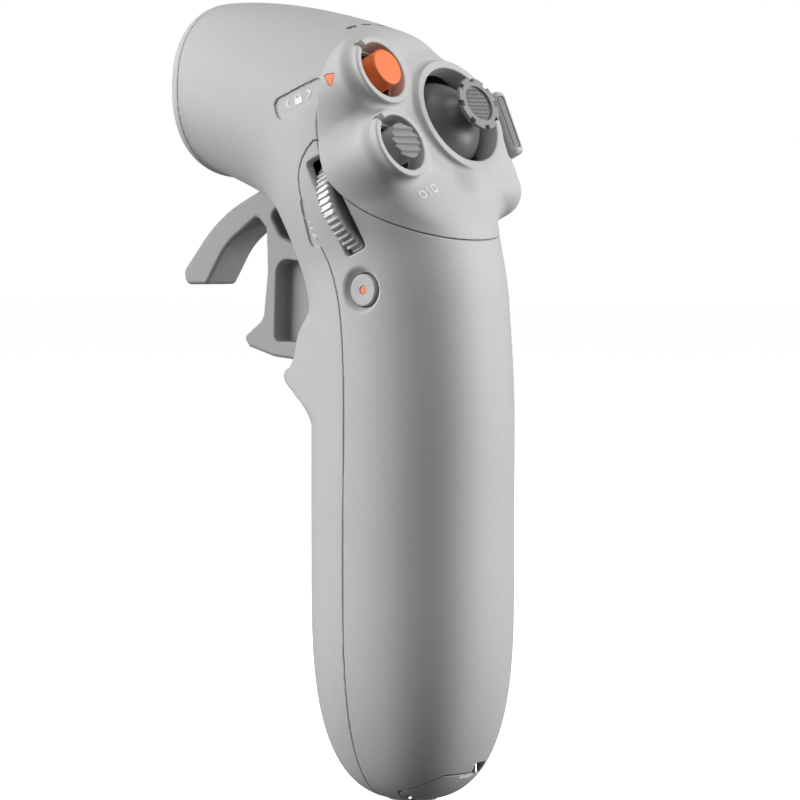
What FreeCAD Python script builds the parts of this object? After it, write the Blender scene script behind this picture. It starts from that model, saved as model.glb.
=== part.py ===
"""Hand-held motion controller: a vertical grip that bends forward into a short barrel.

Frame: origin on the grip's axis at its foot, +Z up the grip, +Y forward along the barrel, +X to the
holder's right.  Units are millimetres.  The driving dimensions are the cells of the sheet "sizes".
"""

import FreeCAD, Part, Sketcher
import math
import os
from FreeCAD import Placement, Rotation, Vector

doc = FreeCAD.newDocument("motion_controller")

# ---------------------------------------------------------------- driving dimensions

SIZES = {
    # body form: the grip is a column of ovals, the head a fan of ovals about a pivot line in front
    "grip_half_width": 18.5,
    "grip_half_depth": 20.8,
    "dome_height": 46.0,
    "wall": 2.2,
    "pivot_forward": 45.0,
    "pivot_height": 100.0,
    "nose_length": 4.2,
    "end_plate_length": 3.0,
    # finger lip under the trigger
    "lip_half_width": 15.0,
    "lip_reach": 31.5,
    "lip_height": 86.6,
    # thumb panel plane and its three rings
    "panel_tilt": 66.0,
    "panel_forward": -6.2,
    "panel_height": 140.2,
    "ring_radius": 7.5,
    "well_radius": 6.4,
    "ring_flare": 1.2,
    "ring_depth": 13.0,
    "lock_side": -12.0,
    "lock_up": 9.5,
    "mode_side": -13.7,
    "mode_up": -6.7,
    "stick_side": 8.0,
    "stick_ring_radius": 12.3,
    "stick_hole_radius": 10.5,
    # round buttons on the panel
    "cap_radius": 3.9,
    "cap_top": 1.3,
    "cap_foot": 10.7,
    "cap_flange_radius": 4.9,
    "cap_flange_thick": 0.6,
    "cup_radius": 5.5,
    "well_floor": 9.0,
    "well_wall": 0.6,
    "well_rim": 4.0,
    "floor_thick": 1.0,
    "slide_gap": 0.15,
    "ridge_pitch": 1.6,
    "ridge_depth": 0.7,
    # joystick
    "stick_pivot": 9.0,
    "dome_radius": 10.2,
    "dome_wall": 1.0,
    "dome_drop": 4.4,
    "stalk_radius": 2.5,
    "knob_radius": 5.8,
    "knob_top": 5.3,
    "knob_thick": 2.3,
    "knob_teeth": 8,
    "knob_notch": 1.3,
    "yoke_half": 4.8,
    "yoke_window": 3.3,
    "yoke_thick": 2.0,
    "trunnion_radius": 0.8,
    "pin_gap": 0.05,
    "stick_base_half": 6.1,
    "stick_base_wall": 0.8,
    "stick_base_top": 6.9,
    # boards and switches
    "board_thick": 1.2,
    "thumb_board_top": 13.2,
    "thumb_board_width": 31.6,
    "thumb_board_length": 29.0,
    "thumb_board_side": -0.5,
    "switch_side": 4.6,
    "switch_thick": 1.4,
    "switch_stem_radius": 0.9,
    "switch_stem": 0.3,
    # side dial
    "dial_radius": 11.5,
    "dial_thick": 3.2,
    "dial_rim": 1.6,
    "dial_ribs": 44,
    "dial_rib_depth": 0.35,
    "dial_bore": 1.1,
    "dial_side": -11.4,
    "dial_forward": 3.9,
    "dial_height": 121.3,
    "dial_slot_length": 19.4,
    "dial_slot_width": 4.0,
    "dial_slot_depth": 12.0,
    "dial_slot_shift": 8.5,
    "dial_clearance": 0.3,
    "dial_axle_foot": 6.5,
    "dial_axle_length": 9.0,
    "dial_bracket_side": 13.0,
    "dial_bracket_thick": 1.4,
    "dial_bracket_drop": 4.2,
    "dial_encoder_side": 7.0,
    "dial_encoder_thick": 2.3,
    # record button
    "record_radius": 3.3,
    "record_forward": -2.1,
    "record_height": 104.4,
    "record_face": 18.2,
    "record_dot_radius": 0.7,
    "record_dish_radius": 4.3,
    "record_dish_depth": 2.4,
    "record_bore_end": 8.0,
    "record_dish_face": 19.9,
    "record_flange": 15.3,
    "record_flange_lip": 0.8,
    "record_plunger_radius": 1.0,
    "record_plunger": 1.0,
    "side_board_face": 11.7,
    "side_board_width": 12.0,
    "side_board_length": 9.5,
    # power button
    "power_length": 14.2,
    "power_depth": 9.6,
    "power_outer": 24.3,
    "power_inner": 20.9,
    "power_up": -2.5,
    "power_back": -4.0,
    "power_pocket": 20.0,
    "power_stem_end": 17.65,
    "power_board_face": 15.4,
    "power_stem": 2.6,
    "power_stem_up": -8.9,
    "power_stem_back": -7.3,
    "power_edge": 1.3,
    "power_face_width": 1.8,
    "power_face_depth": 0.6,
    "power_switch_drop": 2.0,
    # trigger
    "trigger_half_width": 4.7,
    "trigger_slot_half": 5.3,
    "trigger_pivot_forward": 32.0,
    "trigger_pivot_height": 132.0,
    "trigger_hub_radius": 4.0,
    "trigger_pin_radius": 1.5,
    "trigger_pocket_depth": 3.3,
    "trigger_pin_half": 10.0,
    # battery
    "cell_radius": 9.2,
    "cell_length": 65.0,
    "contact_radius": 3.0,
    "contact_thick": 0.4,
    "cell_foot": 17.0,
    "cell_back": -1.0,
    "tray_wall": 1.0,
    # inner frame, its screws, main board and aerial
    "frame_forward": 10.2,
    "frame_thick": 1.4,
    "frame_width": 21.0,
    "frame_height": 66.0,
    "frame_foot": 20.0,
    "frame_screw_side": 8.0,
    "frame_screw_low": 25.0,
    "frame_screw_high": 81.0,
    "screw_radius": 0.9,
    "boss_radius": 2.1,
    "boss_reach": 12.0,
    "main_board_forward": 28.0,
    "main_board_height": 146.0,
    "aerial_forward": 44.4,
    # status lights
    "light_length": 3.0,
    "light_width": 0.9,
    "light_pitch": 4.6,
    "light_forward": 10.5,
    "light_height": 158.0,
    "light_board_height": 153.4,
    "light_board_width": 4.0,
    "light_board_length": 20.0,
    "light_board_thick": 0.8,
    "lamp_length": 1.6,
    "lamp_width": 0.8,
    "lamp_thick": 0.7,
    "pointer_depth": 17.6,
    "light_depth": 12.0,
    # charging socket and cover
    "cover_half_width": 8.8,
    "cover_top": 6.1,
    "cover_front": -3.2,
    "cover_gap": 0.2,
    "cover_hinge": -4.4,
    "cover_hinge_height": 1.35,
    "cover_knuckle": 1.1,
    "cover_lug_side": 5.2,
    "cover_lug_width": 1.8,
    "cover_pin_half": 6.1,
    "cover_pin_radius": 0.5,
    "socket_width": 8.9,
    "socket_thick": 3.3,
    "socket_length": 7.0,
    "socket_wall": 0.35,
    "socket_back": -8.6,
    "socket_foot": 3.6,
    "port_plate_height": 8.8,
    "port_plate_width": 13.0,
    "port_plate_length": 4.6,
    "usb_board_width": 16.0,
    "usb_board_thick": 1.0,
    "usb_board_foot": 6.5,
    "usb_board_height": 7.6,
    "tongue_width": 6.4,
    "tongue_thick": 0.7,
    "tongue_length": 4.6,
    "lanyard_side": 6.0,
    "lanyard_height": 7.4,
    "lanyard_back": -13.1,
    "lanyard_radius": 0.6,
    "lanyard_length": 2.6,
    "lanyard_slot_width": 4.4,
    "lanyard_slot_depth": 7.0,
    "lanyard_slot_height": 1.8,
    "lanyard_slot_back": -14.5,
    "main_board_width": 28.0,
    "main_board_length": 26.0,
    "shield_side": 16.0,
    "shield_thick": 2.0,
    "chip_side": 3.0,
    "chip_thick": 0.9,
    "buzzer_radius": 4.5,
    "buzzer_thick": 3.0,
    "aerial_width": 24.0,
    "aerial_height": 16.0,
    "aerial_thick": 0.8,
}

# Ovals of the head: angle about the pivot line, then how far the near side, the far side and each
# flank stand from the pivot line or the middle plane.  Angle 0 is level, 90 is straight up.
HEAD_OVALS = {
    8: (23.6, 63.9, 18.6),
    16: (23.4, 63.7, 19.0),
    24: (23.6, 65.2, 20.2),
    32: (24.1, 66.8, 21.2),
    40: (24.6, 69.0, 21.7),
    48: (25.2, 71.2, 21.7),
    56: (25.6, 69.3, 21.4),
    66: (25.7, 66.4, 21.2),
    78: (26.2, 64.7, 21.0),
    90: (27.6, 64.3, 20.7),
}
GRIP_LEVELS = (0.0, 0.8, 2.0, 4.0, 7.0, 11.0, 16.0, 23.0, 32.0, 46.0, 64.0, 82.0)
NOSE_ROUNDING = ((0.45, 0.985), (0.8, 0.945), (1.0, 0.88))   # share of nose length, share of size
OVAL_POWER = 2.3
OVAL_POINTS = 28

# Side-view seams, as (forward, height) points.
PANEL_SEAM = ((6.2, 175.0), (6.2, 158.0), (6.5, 149.5), (7.4, 141.0), (6.6, 133.0), (4.2, 127.0),
              (0.6, 122.8), (-4.8, 119.3), (-9.8, 117.0), (-18.0, 114.0), (-30.0, 110.5))
SHELL_SEAM = ((8.0, 134.5), (10.6, 131.5), (12.1, 127.5), (11.4, 121.5), (8.8, 114.5), (5.8, 108.0),
              (4.0, 101.0), (3.0, 90.0), (3.0, 60.0), (3.0, 30.0), (3.0, -5.0))

sheet = doc.addObject("Spreadsheet::Sheet", "sizes")
for row, (alias, number) in enumerate(SIZES.items(), start=1):
    sheet.set(f"A{row}", alias)
    sheet.set(f"B{row}", str(number))
    sheet.setAlias(f"B{row}", alias)
row = len(SIZES)
for angle, distances in HEAD_OVALS.items():
    for name, number in zip(("near", "far", "flank"), distances):
        row += 1
        alias = f"{name}_{angle:02d}"
        sheet.set(f"A{row}", alias)
        sheet.set(f"B{row}", str(number))
        sheet.setAlias(f"B{row}", alias)
doc.recompute()


def size(alias):
    """A driving dimension, read from the sheet."""
    return float(sheet.get(alias))


# ---------------------------------------------------------------- frames and node list

HERE = Placement()
PANEL = Placement(Vector(0, size("panel_forward"), size("panel_height")),
                  Rotation(Vector(1, 0, 0), size("panel_tilt")))
FORWARD = Rotation(Vector(1, 0, 0), -90)         # local Z along +Y
FACING_LEFT = Rotation(Vector(0, 1, 0), -90)     # local Z along -X
FACING_RIGHT = Rotation(Vector(0, 1, 0), 90)     # local Z along +X
nodes = []


def at(x, y, z, turn=None, frame=HERE):
    """Placement at a point of a frame, with an optional turn of its own."""
    return frame.multiply(Placement(Vector(x, y, z), turn or Rotation()))


def node(thing, label):
    """Give a finished sub-part its name and list it for writing."""
    thing.Label = label
    nodes.append(thing)
    return thing


def bind(thing, **expressions):
    """Tie properties to cells: words in an expression are aliases of the sheet."""
    for prop, text in expressions.items():
        thing.setExpression(prop, text)


def block(name, x, y, z, placement):
    """A box of bound sizes, centred on the placement in X and Y, standing on it in Z."""
    thing = doc.addObject("Part::Box", name)
    bind(thing, Length=x, Width=y, Height=z)
    doc.recompute([thing])
    shift = Vector(-thing.Length.Value / 2, -thing.Width.Value / 2, 0)
    thing.Placement = placement.multiply(Placement(shift, Rotation()))
    return thing


def rod(name, radius, length, placement):
    """A cylinder of bound radius and length, along the placement's Z."""
    thing = doc.addObject("Part::Cylinder", name)
    bind(thing, Radius=radius, Height=length)
    thing.Placement = placement
    return thing


def cut(name, base, tool):
    thing = doc.addObject("Part::Cut", name)
    thing.Base = base
    thing.Tool = tool
    return thing


def fuse(name, *things):
    thing = doc.addObject("Part::MultiFuse", name)
    thing.Shapes = list(things)
    return thing


def group(name, *things):
    """Separate identical solids that share one node."""
    thing = doc.addObject("Part::Compound", name)
    thing.Links = list(things)
    return thing


def freeform(name, shape):
    """A shape made with Part's own functions, where no feature fits."""
    thing = doc.addObject("Part::Feature", name)
    thing.Shape = shape
    return thing


def new_body(name, placement):
    body = doc.addObject("PartDesign::Body", name)
    body.Placement = placement
    return body


def plane_of(body, role):
    return next(plane for plane in body.Origin.OriginFeatures if plane.Role == role)


def new_sketch(body, name, role="XY_Plane"):
    sketch = body.newObject("Sketcher::SketchObject", name)
    sketch.AttachmentSupport = (plane_of(body, role), "")
    sketch.MapMode = "FlatFace"
    return sketch


def circle_sketch(body, name, radius, centre=(0.0, 0.0), role="XY_Plane"):
    """A circle whose radius is bound to a cell expression."""
    sketch = new_sketch(body, name, role)
    ring = Part.Circle(Vector(centre[0], centre[1], 0), Vector(0, 0, 1), 1.0)
    index = sketch.addGeometry(ring, False)
    radius_row = sketch.addConstraint(Sketcher.Constraint("Radius", index, 1.0))
    sketch.setExpression(f"Constraints[{radius_row}]", radius)
    return sketch


def round_outline(corners):
    """Lines and arcs round a closed outline of (x, y, corner radius) points."""
    count = len(corners)
    ends = []
    for index, (x, y, radius) in enumerate(corners):
        here = Vector(x, y, 0)
        back = (Vector(*corners[index - 1][:2], 0) - here).normalize()
        ahead = (Vector(*corners[(index + 1) % count][:2], 0) - here).normalize()
        half = back.getAngle(ahead) / 2
        reach = radius / math.tan(half)
        middle = here + (back + ahead).normalize() * (radius / math.sin(half) - radius)
        ends.append((here + back * reach, middle, here + ahead * reach))
    curves = []
    for index, (start, middle, end) in enumerate(ends):
        curves.append(Part.Arc(start, middle, end))
        curves.append(Part.LineSegment(end, ends[(index + 1) % count][0]))
    return curves


def outline_sketch(body, name, corners, role="XY_Plane"):
    sketch = new_sketch(body, name, role)
    sketch.addGeometry(round_outline(corners), False)
    return sketch


def pad(body, name, sketch, length, midplane=False):
    feature = body.newObject("PartDesign::Pad", name)
    feature.Profile = sketch
    feature.Midplane = midplane
    bind(feature, Length=length)
    return feature


# ---------------------------------------------------------------- body form

def oval(centre, outward, half_width, half_reach):
    """Points of a closed oval in the plane of X and `outward` (a side-view direction)."""
    points = []
    for step in range(OVAL_POINTS + 1):
        turn = 2 * math.pi * (step % OVAL_POINTS) / OVAL_POINTS
        across = math.copysign(abs(math.cos(turn)) ** (2 / OVAL_POWER), math.cos(turn))
        along = math.copysign(abs(math.sin(turn)) ** (2 / OVAL_POWER), math.sin(turn))
        points.append(centre + outward * (half_reach * along) + Vector(half_width * across, 0, 0))
    return points


def skin(ovals):
    """Closed solid with one smooth face through a row of ovals and a flat face at each end."""
    surface = Part.BSplineSurface()
    surface.interpolate(ovals)
    first, last, _, _ = surface.bounds()
    ends = [Part.Face(Part.Wire(surface.uIso(place).toShape())) for place in (first, last)]
    solid = Part.Solid(Part.makeShell([surface.toShape()] + ends))
    return solid if solid.Volume > 0 else solid.reversed()


def dome_share(height):
    """Share of the full grip size at a height above the foot."""
    rise = min(max(height, 0.35) / size("dome_height"), 1.0)
    return (1 - (1 - rise) ** 3) ** 0.37


def body_form(inset):
    """The whole body as one solid, every face moved inwards by `inset`."""
    pivot = Vector(0, size("pivot_forward"), size("pivot_height"))
    backward = Vector(0, -1, 0)
    ovals = []
    for level in GRIP_LEVELS:
        if inset and level < inset * 1.5:
            continue
        share = dome_share(level - inset)
        trim = inset * min(1.0, level / 20)
        centre = Vector(0, 0, level)
        ovals.append(oval(centre, backward, size("grip_half_width") * share - trim,
                          size("grip_half_depth") * share - trim))
    for angle in HEAD_OVALS:
        near = size(f"near_{angle:02d}") + inset
        far = size(f"far_{angle:02d}") - inset
        turn = math.radians(angle)
        outward = Vector(0, -math.cos(turn), math.sin(turn))
        centre = pivot + outward * ((near + far) / 2)
        ovals.append(oval(centre, outward, size(f"flank_{angle:02d}") - inset, (far - near) / 2))
    middle = (size("near_90") + size("far_90")) / 2
    reach = (size("far_90") - size("near_90")) / 2
    if inset:
        front = Vector(0, pivot.y + size("nose_length") - inset * 0.75, pivot.z + middle)
        ovals.append(oval(front, Vector(0, 0, 1), size("flank_90") - inset * 1.6, reach - inset * 1.6))
    else:
        for part, share in NOSE_ROUNDING:
            front = Vector(0, pivot.y + size("nose_length") * part, pivot.z + middle)
            ovals.append(oval(front, Vector(0, 0, 1), size("flank_90") * share, reach * share))
    return skin(ovals)


def side_prism(points, half_width, smooth):
    """A side-view region swept across X.  `points` are (forward, height); the first `smooth` of them
    lie on one curve and the rest are joined by straight lines."""
    spots = [Vector(-half_width, y, z) for y, z in points]
    curve = Part.BSplineCurve()
    curve.interpolate(Points=spots[:smooth])
    edges = [curve.toShape()]
    rest = spots[smooth - 1:] + spots[:1]
    for start, end in zip(rest, rest[1:]):
        edges.append(Part.makeLine(start, end))
    return Part.Face(Part.Wire(edges)).extrude(Vector(2 * half_width, 0, 0))


def lip_form():
    """The tusk under the trigger that keeps the finger in place."""
    tip = size("lip_height")
    reach = size("lip_reach")
    profile = ((12.0, 78.0), (20.5, 81.0), (25.0, 83.5), (reach - 1.0, tip - 1.0), (reach, tip),
               (reach - 1.2, tip + 1.0), (26.0, 88.3), (23.0, 91.0), (21.5, 95.0), (12.0, 99.0))
    prism = side_prism(profile, 30.0, len(profile))
    column = [oval(Vector(0, 0, level), Vector(0, -1, 0), size("lip_half_width"), reach)
              for level in (70.0, 80.0, 90.0, 110.0)]
    return prism.common(skin(column))


def ring_form(x, t, radius):
    """Solid of one raised ring of the thumb panel, its top in the panel plane."""
    depth = size("ring_depth")
    spot = at(x, t, 0, frame=PANEL)
    top_edge = 0.5
    outline = [Vector(0, 0, 0), Vector(radius - top_edge, 0, 0), Vector(radius, 0, -top_edge),
               Vector(radius + 0.3, 0, -depth * 0.3), Vector(radius + size("ring_flare"), 0, -depth),
               Vector(0, 0, -depth), Vector(0, 0, 0)]
    solid = Part.Face(Part.makePolygon(outline)).revolve(Vector(), Vector(0, 0, 1), 360)
    solid.Placement = spot
    return solid


def drill(x, t, radius, bottom, top, frame=PANEL):
    """A cylinder used as a cutting tool, along a frame's own Z."""
    solid = Part.makeCylinder(radius, top - bottom)
    solid.Placement = at(x, t, bottom, frame=frame)
    return solid


def brick(x, y, z, placement):
    """A centred box used as a cutting tool."""
    solid = Part.makeBox(x, y, z, Vector(-x / 2, -y / 2, -z / 2))
    solid.Placement = placement
    return solid


LOCK = (size("lock_side"), size("lock_up"))
MODE = (size("mode_side"), size("mode_up"))
STICK = (size("stick_side"), 0.0)
DIAL = Placement(Vector(size("dial_side"), size("dial_forward"), size("dial_height")), PANEL.Rotation)
FAR = 60.0                                       # further than any face of the body

outer = body_form(0.0).fuse(lip_form())
hollow = body_form(size("wall"))
panel_region = side_prism(PANEL_SEAM + ((-FAR, 110.0), (-FAR, 175.0)), FAR, len(PANEL_SEAM))
rear_region = side_prism(SHELL_SEAM + ((-FAR, -5.0), (-FAR, 134.5)), FAR, len(SHELL_SEAM))
rear_region = rear_region.cut(panel_region)


def cover_box(gap):
    """The block of the foot that the socket cover fills, grown by a gap."""
    half = size("cover_half_width") + gap
    top = size("cover_top") + gap
    front = size("cover_front") + gap
    back = -30.0
    return Part.makeBox(2 * half, front - back, top + 5.0, Vector(-half, back, -5.0))


def trigger_slot():
    """Opening in the front wall and the barrel's underside that the trigger swings in."""
    half = size("trigger_slot_half")
    profile = ((14.0, 88.4), (34.0, 88.4), (34.0, 112.0), (42.5, 122.0), (42.5, 131.0), (24.0, 131.0),
               (14.0, 112.0))
    corners = [Vector(-half, y, z) for y, z in profile + profile[:1]]
    return Part.Face(Part.makePolygon(corners)).extrude(Vector(2 * half, 0, 0))


def end_plate_region():
    front = size("pivot_forward") + size("nose_length") - size("end_plate_length")
    return Part.makeBox(2 * FAR, FAR, 2 * FAR, Vector(-FAR, front, FAR))


def boss_spots():
    """Places of the four screws that hold the inner frame to the front shell."""
    side = size("frame_screw_side")
    face = size("frame_forward") + size("frame_thick")
    return [at(x, face, z, FORWARD) for x in (-side, side)
            for z in (size("frame_screw_low"), size("frame_screw_high"))]


def cylinder(radius, length, placement):
    """A cylinder used as a tool or a boss, along the placement's Z."""
    solid = Part.makeCylinder(radius, length)
    solid.Placement = placement
    return solid


def light_spots():
    """Places of the four status windows, in a row across the top."""
    pitch = size("light_pitch")
    return [at(pitch * step, size("light_forward"), size("light_height")) for step in (-1.5, -0.5, 0.5, 1.5)]


def light_bars():
    return [brick(size("light_length"), size("light_width"), size("light_depth"), spot)
            for spot in light_spots()]


def pointer_prism():
    """Small triangle let into the panel's flank beside the lock button."""
    corners = ((3.2, 148.0), (6.0, 147.6), (3.7, 144.9), (3.2, 148.0))
    outline = Part.makePolygon([Vector(-FAR, y, z) for y, z in corners])
    return Part.Face(outline).extrude(Vector(FAR - size("pointer_depth"), 0, 0))


def cover_lugs():
    """Two lugs of the rear shell that carry the cover's hinge pin."""
    lugs = []
    for side in (-1, 1):
        middle = side * size("cover_lug_side")
        width = size("cover_lug_width")
        eye = cylinder(size("cover_knuckle"), width,
                       at(middle - width / 2, size("cover_hinge"), size("cover_hinge_height"), FACING_RIGHT))
        reach = size("cover_front") + 1.0 - size("cover_hinge")
        web = Part.makeBox(width, reach, size("cover_knuckle"),
                           Vector(middle - width / 2, size("cover_hinge"), size("cover_hinge_height")))
        lugs += [eye, web]
    return lugs


def lanyard_place():
    """Foot of the small steel bar that a wrist lanyard is tied to."""
    return at(size("lanyard_side"), size("lanyard_back"), size("lanyard_height") - size("lanyard_length") / 2)


def build_front_shell():
    """Barrel and front half of the grip, with bosses for the inner frame."""
    shell = outer.cut([hollow, panel_region, rear_region, end_plate_region(), trigger_slot(),
                       cover_box(size("cover_gap"))])
    bosses = [cylinder(size("boss_radius"), size("boss_reach"), spot).common(outer) for spot in boss_spots()]
    threads = [cylinder(size("screw_radius"), 5.0, spot) for spot in boss_spots()]
    well_rooms = [drill(*spot, size("cup_radius"), -20, 5) for spot in (LOCK, MODE)]
    shell = shell.fuse(bosses).cut(threads + light_bars() + well_rooms)
    return node(freeform("front_shell_form", shell), "front_shell")


def build_rear_shell():
    """Back half of the grip, with the ears that the side dial looks out of."""
    slot = brick(size("dial_slot_depth"), size("dial_slot_length"), size("dial_slot_width"),
                 DIAL.multiply(Placement(Vector(-size("dial_slot_shift"), 0, 0), Rotation())))
    middle = (size("record_forward"), size("record_height"))
    bore = cylinder(size("record_radius") + size("slide_gap"), FAR - size("record_bore_end"),
                    at(-FAR, *middle, FACING_RIGHT))
    mouth = size("record_dish_radius")
    dish = Part.makeCone(mouth + 1.4, mouth - 1.0, size("record_dish_depth"))
    dish.Placement = at(-size("record_dish_face"), *middle, FACING_RIGHT)
    room = size("dial_clearance")
    dial_room = cylinder(size("dial_radius") + room, size("dial_thick") + 2 * room,
                         DIAL.multiply(Placement(Vector(0, 0, -size("dial_thick") / 2 - room), Rotation())))
    lanyard = brick(size("lanyard_slot_width"), size("lanyard_slot_depth"), size("lanyard_slot_height"),
                    at(size("lanyard_side"), size("lanyard_slot_back"), size("lanyard_height")))
    bar = cylinder(size("lanyard_radius"), size("lanyard_length"), lanyard_place())
    pin = cylinder(size("cover_pin_radius"), 2 * size("cover_pin_half"),
                   at(-size("cover_pin_half"), size("cover_hinge"), size("cover_hinge_height"), FACING_RIGHT))
    shell = outer.common(rear_region)
    shell = shell.cut([hollow, slot, dial_room, bore, dish, cover_box(size("cover_gap")), lanyard, bar])
    shell = shell.fuse(cover_lugs()).cut(pin)
    return node(freeform("rear_shell_form", shell), "rear_shell")


def build_thumb_panel():
    """Sloping panel with three raised rings and the pocket of the power button."""
    rings = [ring_form(*LOCK, size("ring_radius")), ring_form(*MODE, size("ring_radius")),
             ring_form(*STICK, size("stick_ring_radius"))]
    solid = outer.common(panel_region).fuse([ring.common(panel_region) for ring in rings])
    gap = size("slide_gap")
    length = size("power_length") + 2 * gap
    depth = size("power_depth") + 2 * gap
    pocket = brick(10.0, length, depth,
                   at(size("power_pocket") + 5.0, size("power_up"), size("power_back"), frame=PANEL))
    stem_side = size("power_stem") + 2 * gap
    stem = brick(10.0, stem_side, stem_side,
                 at(20.0, size("power_stem_up"), size("power_stem_back"), frame=PANEL))
    holes = [drill(*STICK, size("stick_hole_radius"), -20, 5)]
    for spot in (LOCK, MODE):
        holes.append(drill(*spot, size("cup_radius"), -20, 5))
        holes.append(drill(*spot, size("well_radius"), -size("well_rim"), 5))
    solid = solid.cut([hollow, pocket, stem, pointer_prism()] + holes)
    return node(freeform("thumb_panel_form", solid), "thumb_panel")


def build_front_cap():
    """Separate end plate of the barrel, clipped into the front shell."""
    plate = outer.common(end_plate_region()).cut(hollow)
    return node(freeform("front_cap_form", plate), "front_cap")


def build_pointer_mark():
    mark = pointer_prism().common(outer).cut(hollow)
    return node(freeform("pointer_mark_form", mark), "pointer_mark")


# ---------------------------------------------------------------- status lights

def build_status_lights():
    """Four clear windows, and the small board with their lamps under them."""
    windows = [bar.common(outer).cut(hollow) for bar in light_bars()]
    node(freeform("status_light_forms", Part.makeCompound(windows)), "status_lights")
    level = size("light_board_height")
    node(block("light_board", "sizes.light_board_length", "sizes.light_board_width",
               "sizes.light_board_thick", at(0, size("light_forward"), level)), "light_board")
    lamps = []
    for index, spot in enumerate(light_spots()):
        place = at(spot.Base.x, spot.Base.y, level + size("light_board_thick"))
        lamps.append(block(f"lamp_{index}", "sizes.lamp_length", "sizes.lamp_width",
                           "sizes.lamp_thick", place))
    node(group("lamp_group", *lamps), "status_lamps")


# ---------------------------------------------------------------- lock and mode buttons

def build_well(name, x, t):
    """Dark cup round a panel button, with a floor that guides the cap."""
    deepest = size("well_floor") + size("floor_thick")
    cup = rod(f"{name}_cup", "sizes.cup_radius - 0.02",
              "sizes.well_floor + sizes.floor_thick - sizes.well_rim", at(x, t, -deepest, frame=PANEL))
    room = rod(f"{name}_room", "sizes.cup_radius - sizes.well_wall", "sizes.well_floor",
               at(x, t, -size("well_floor"), frame=PANEL))
    bore = rod(f"{name}_bore", "sizes.cap_radius + sizes.slide_gap", "sizes.well_floor",
               at(x, t, -deepest - 1, frame=PANEL))
    node(cut(f"{name}_form", cut(f"{name}_cut", cup, room), bore), name)


def button_body(name, x, t):
    """Round cap with a flange under the well floor; its foot is the local origin."""
    body = new_body(f"{name}_body", at(x, t, -size("cap_foot"), frame=PANEL))
    flange = circle_sketch(body, f"{name}_flange_circle", "sizes.cap_flange_radius")
    pad(body, f"{name}_flange", flange, "sizes.cap_flange_thick")
    cap = circle_sketch(body, f"{name}_cap_circle", "sizes.cap_radius")
    pad(body, f"{name}_cap", cap, "sizes.cap_foot + sizes.cap_top")
    doc.recompute()
    return body


def round_top(body, name, radius):
    """Fillet the edge that lies highest on a body of revolution."""
    tip = body.Tip
    middles = [edge.CenterOfMass for edge in tip.Shape.Edges]
    top = max(range(len(middles)), key=lambda index: middles[index].z) + 1
    fillet = body.newObject("PartDesign::Fillet", name)
    fillet.Base = (tip, [f"Edge{top}"])
    fillet.Radius = radius


def build_lock_button():
    body = button_body("lock_button", *LOCK)
    round_top(body, "lock_button_round", 0.5)
    node(body, "lock_button")


def build_mode_button():
    """The cap's face is cut into ridges that run across the panel."""
    body = button_body("mode_button", *MODE)
    pitch = size("ridge_pitch")
    top = size("cap_foot") + size("cap_top")
    start = -2.5 * pitch
    points = [(start, top + 2.0)]
    for step in range(5):
        left = start + pitch * step
        points += [(left, top), (left + pitch * 0.85, top - size("ridge_depth"))]
    points += [(start + 5 * pitch, top), (start + 5 * pitch, top + 2.0)]
    sketch = new_sketch(body, "mode_ridge_outline", "YZ_Plane")
    corners = [Vector(y, z, 0) for y, z in points]
    for begin, end in zip(corners, corners[1:] + corners[:1]):
        sketch.addGeometry(Part.LineSegment(begin, end), False)
    ridges = body.newObject("PartDesign::Pocket", "mode_ridges")
    ridges.Profile = sketch
    ridges.Midplane = True
    bind(ridges, Length="sizes.cap_radius * 3")
    node(body, "mode_button")


def switch(name, place):
    """Push switch standing on a board: a square case and a short round stem, along +Z of the place."""
    case = block(f"{name}_case", "sizes.switch_side", "sizes.switch_side", "sizes.switch_thick", place)
    stem = rod(f"{name}_stem", "sizes.switch_stem_radius", "sizes.switch_thick + sizes.switch_stem", place)
    node(fuse(f"{name}_form", case, stem), name)


def build_thumb_board():
    top = -size("thumb_board_top")
    node(block("thumb_board_plate", "sizes.thumb_board_width", "sizes.thumb_board_length",
               "sizes.board_thick", at(size("thumb_board_side"), 0, top - size("board_thick"), frame=PANEL)),
         "thumb_board")
    switch("lock_switch", at(*LOCK, top, frame=PANEL))
    switch("mode_switch", at(*MODE, top, frame=PANEL))


# ---------------------------------------------------------------- joystick

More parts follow.
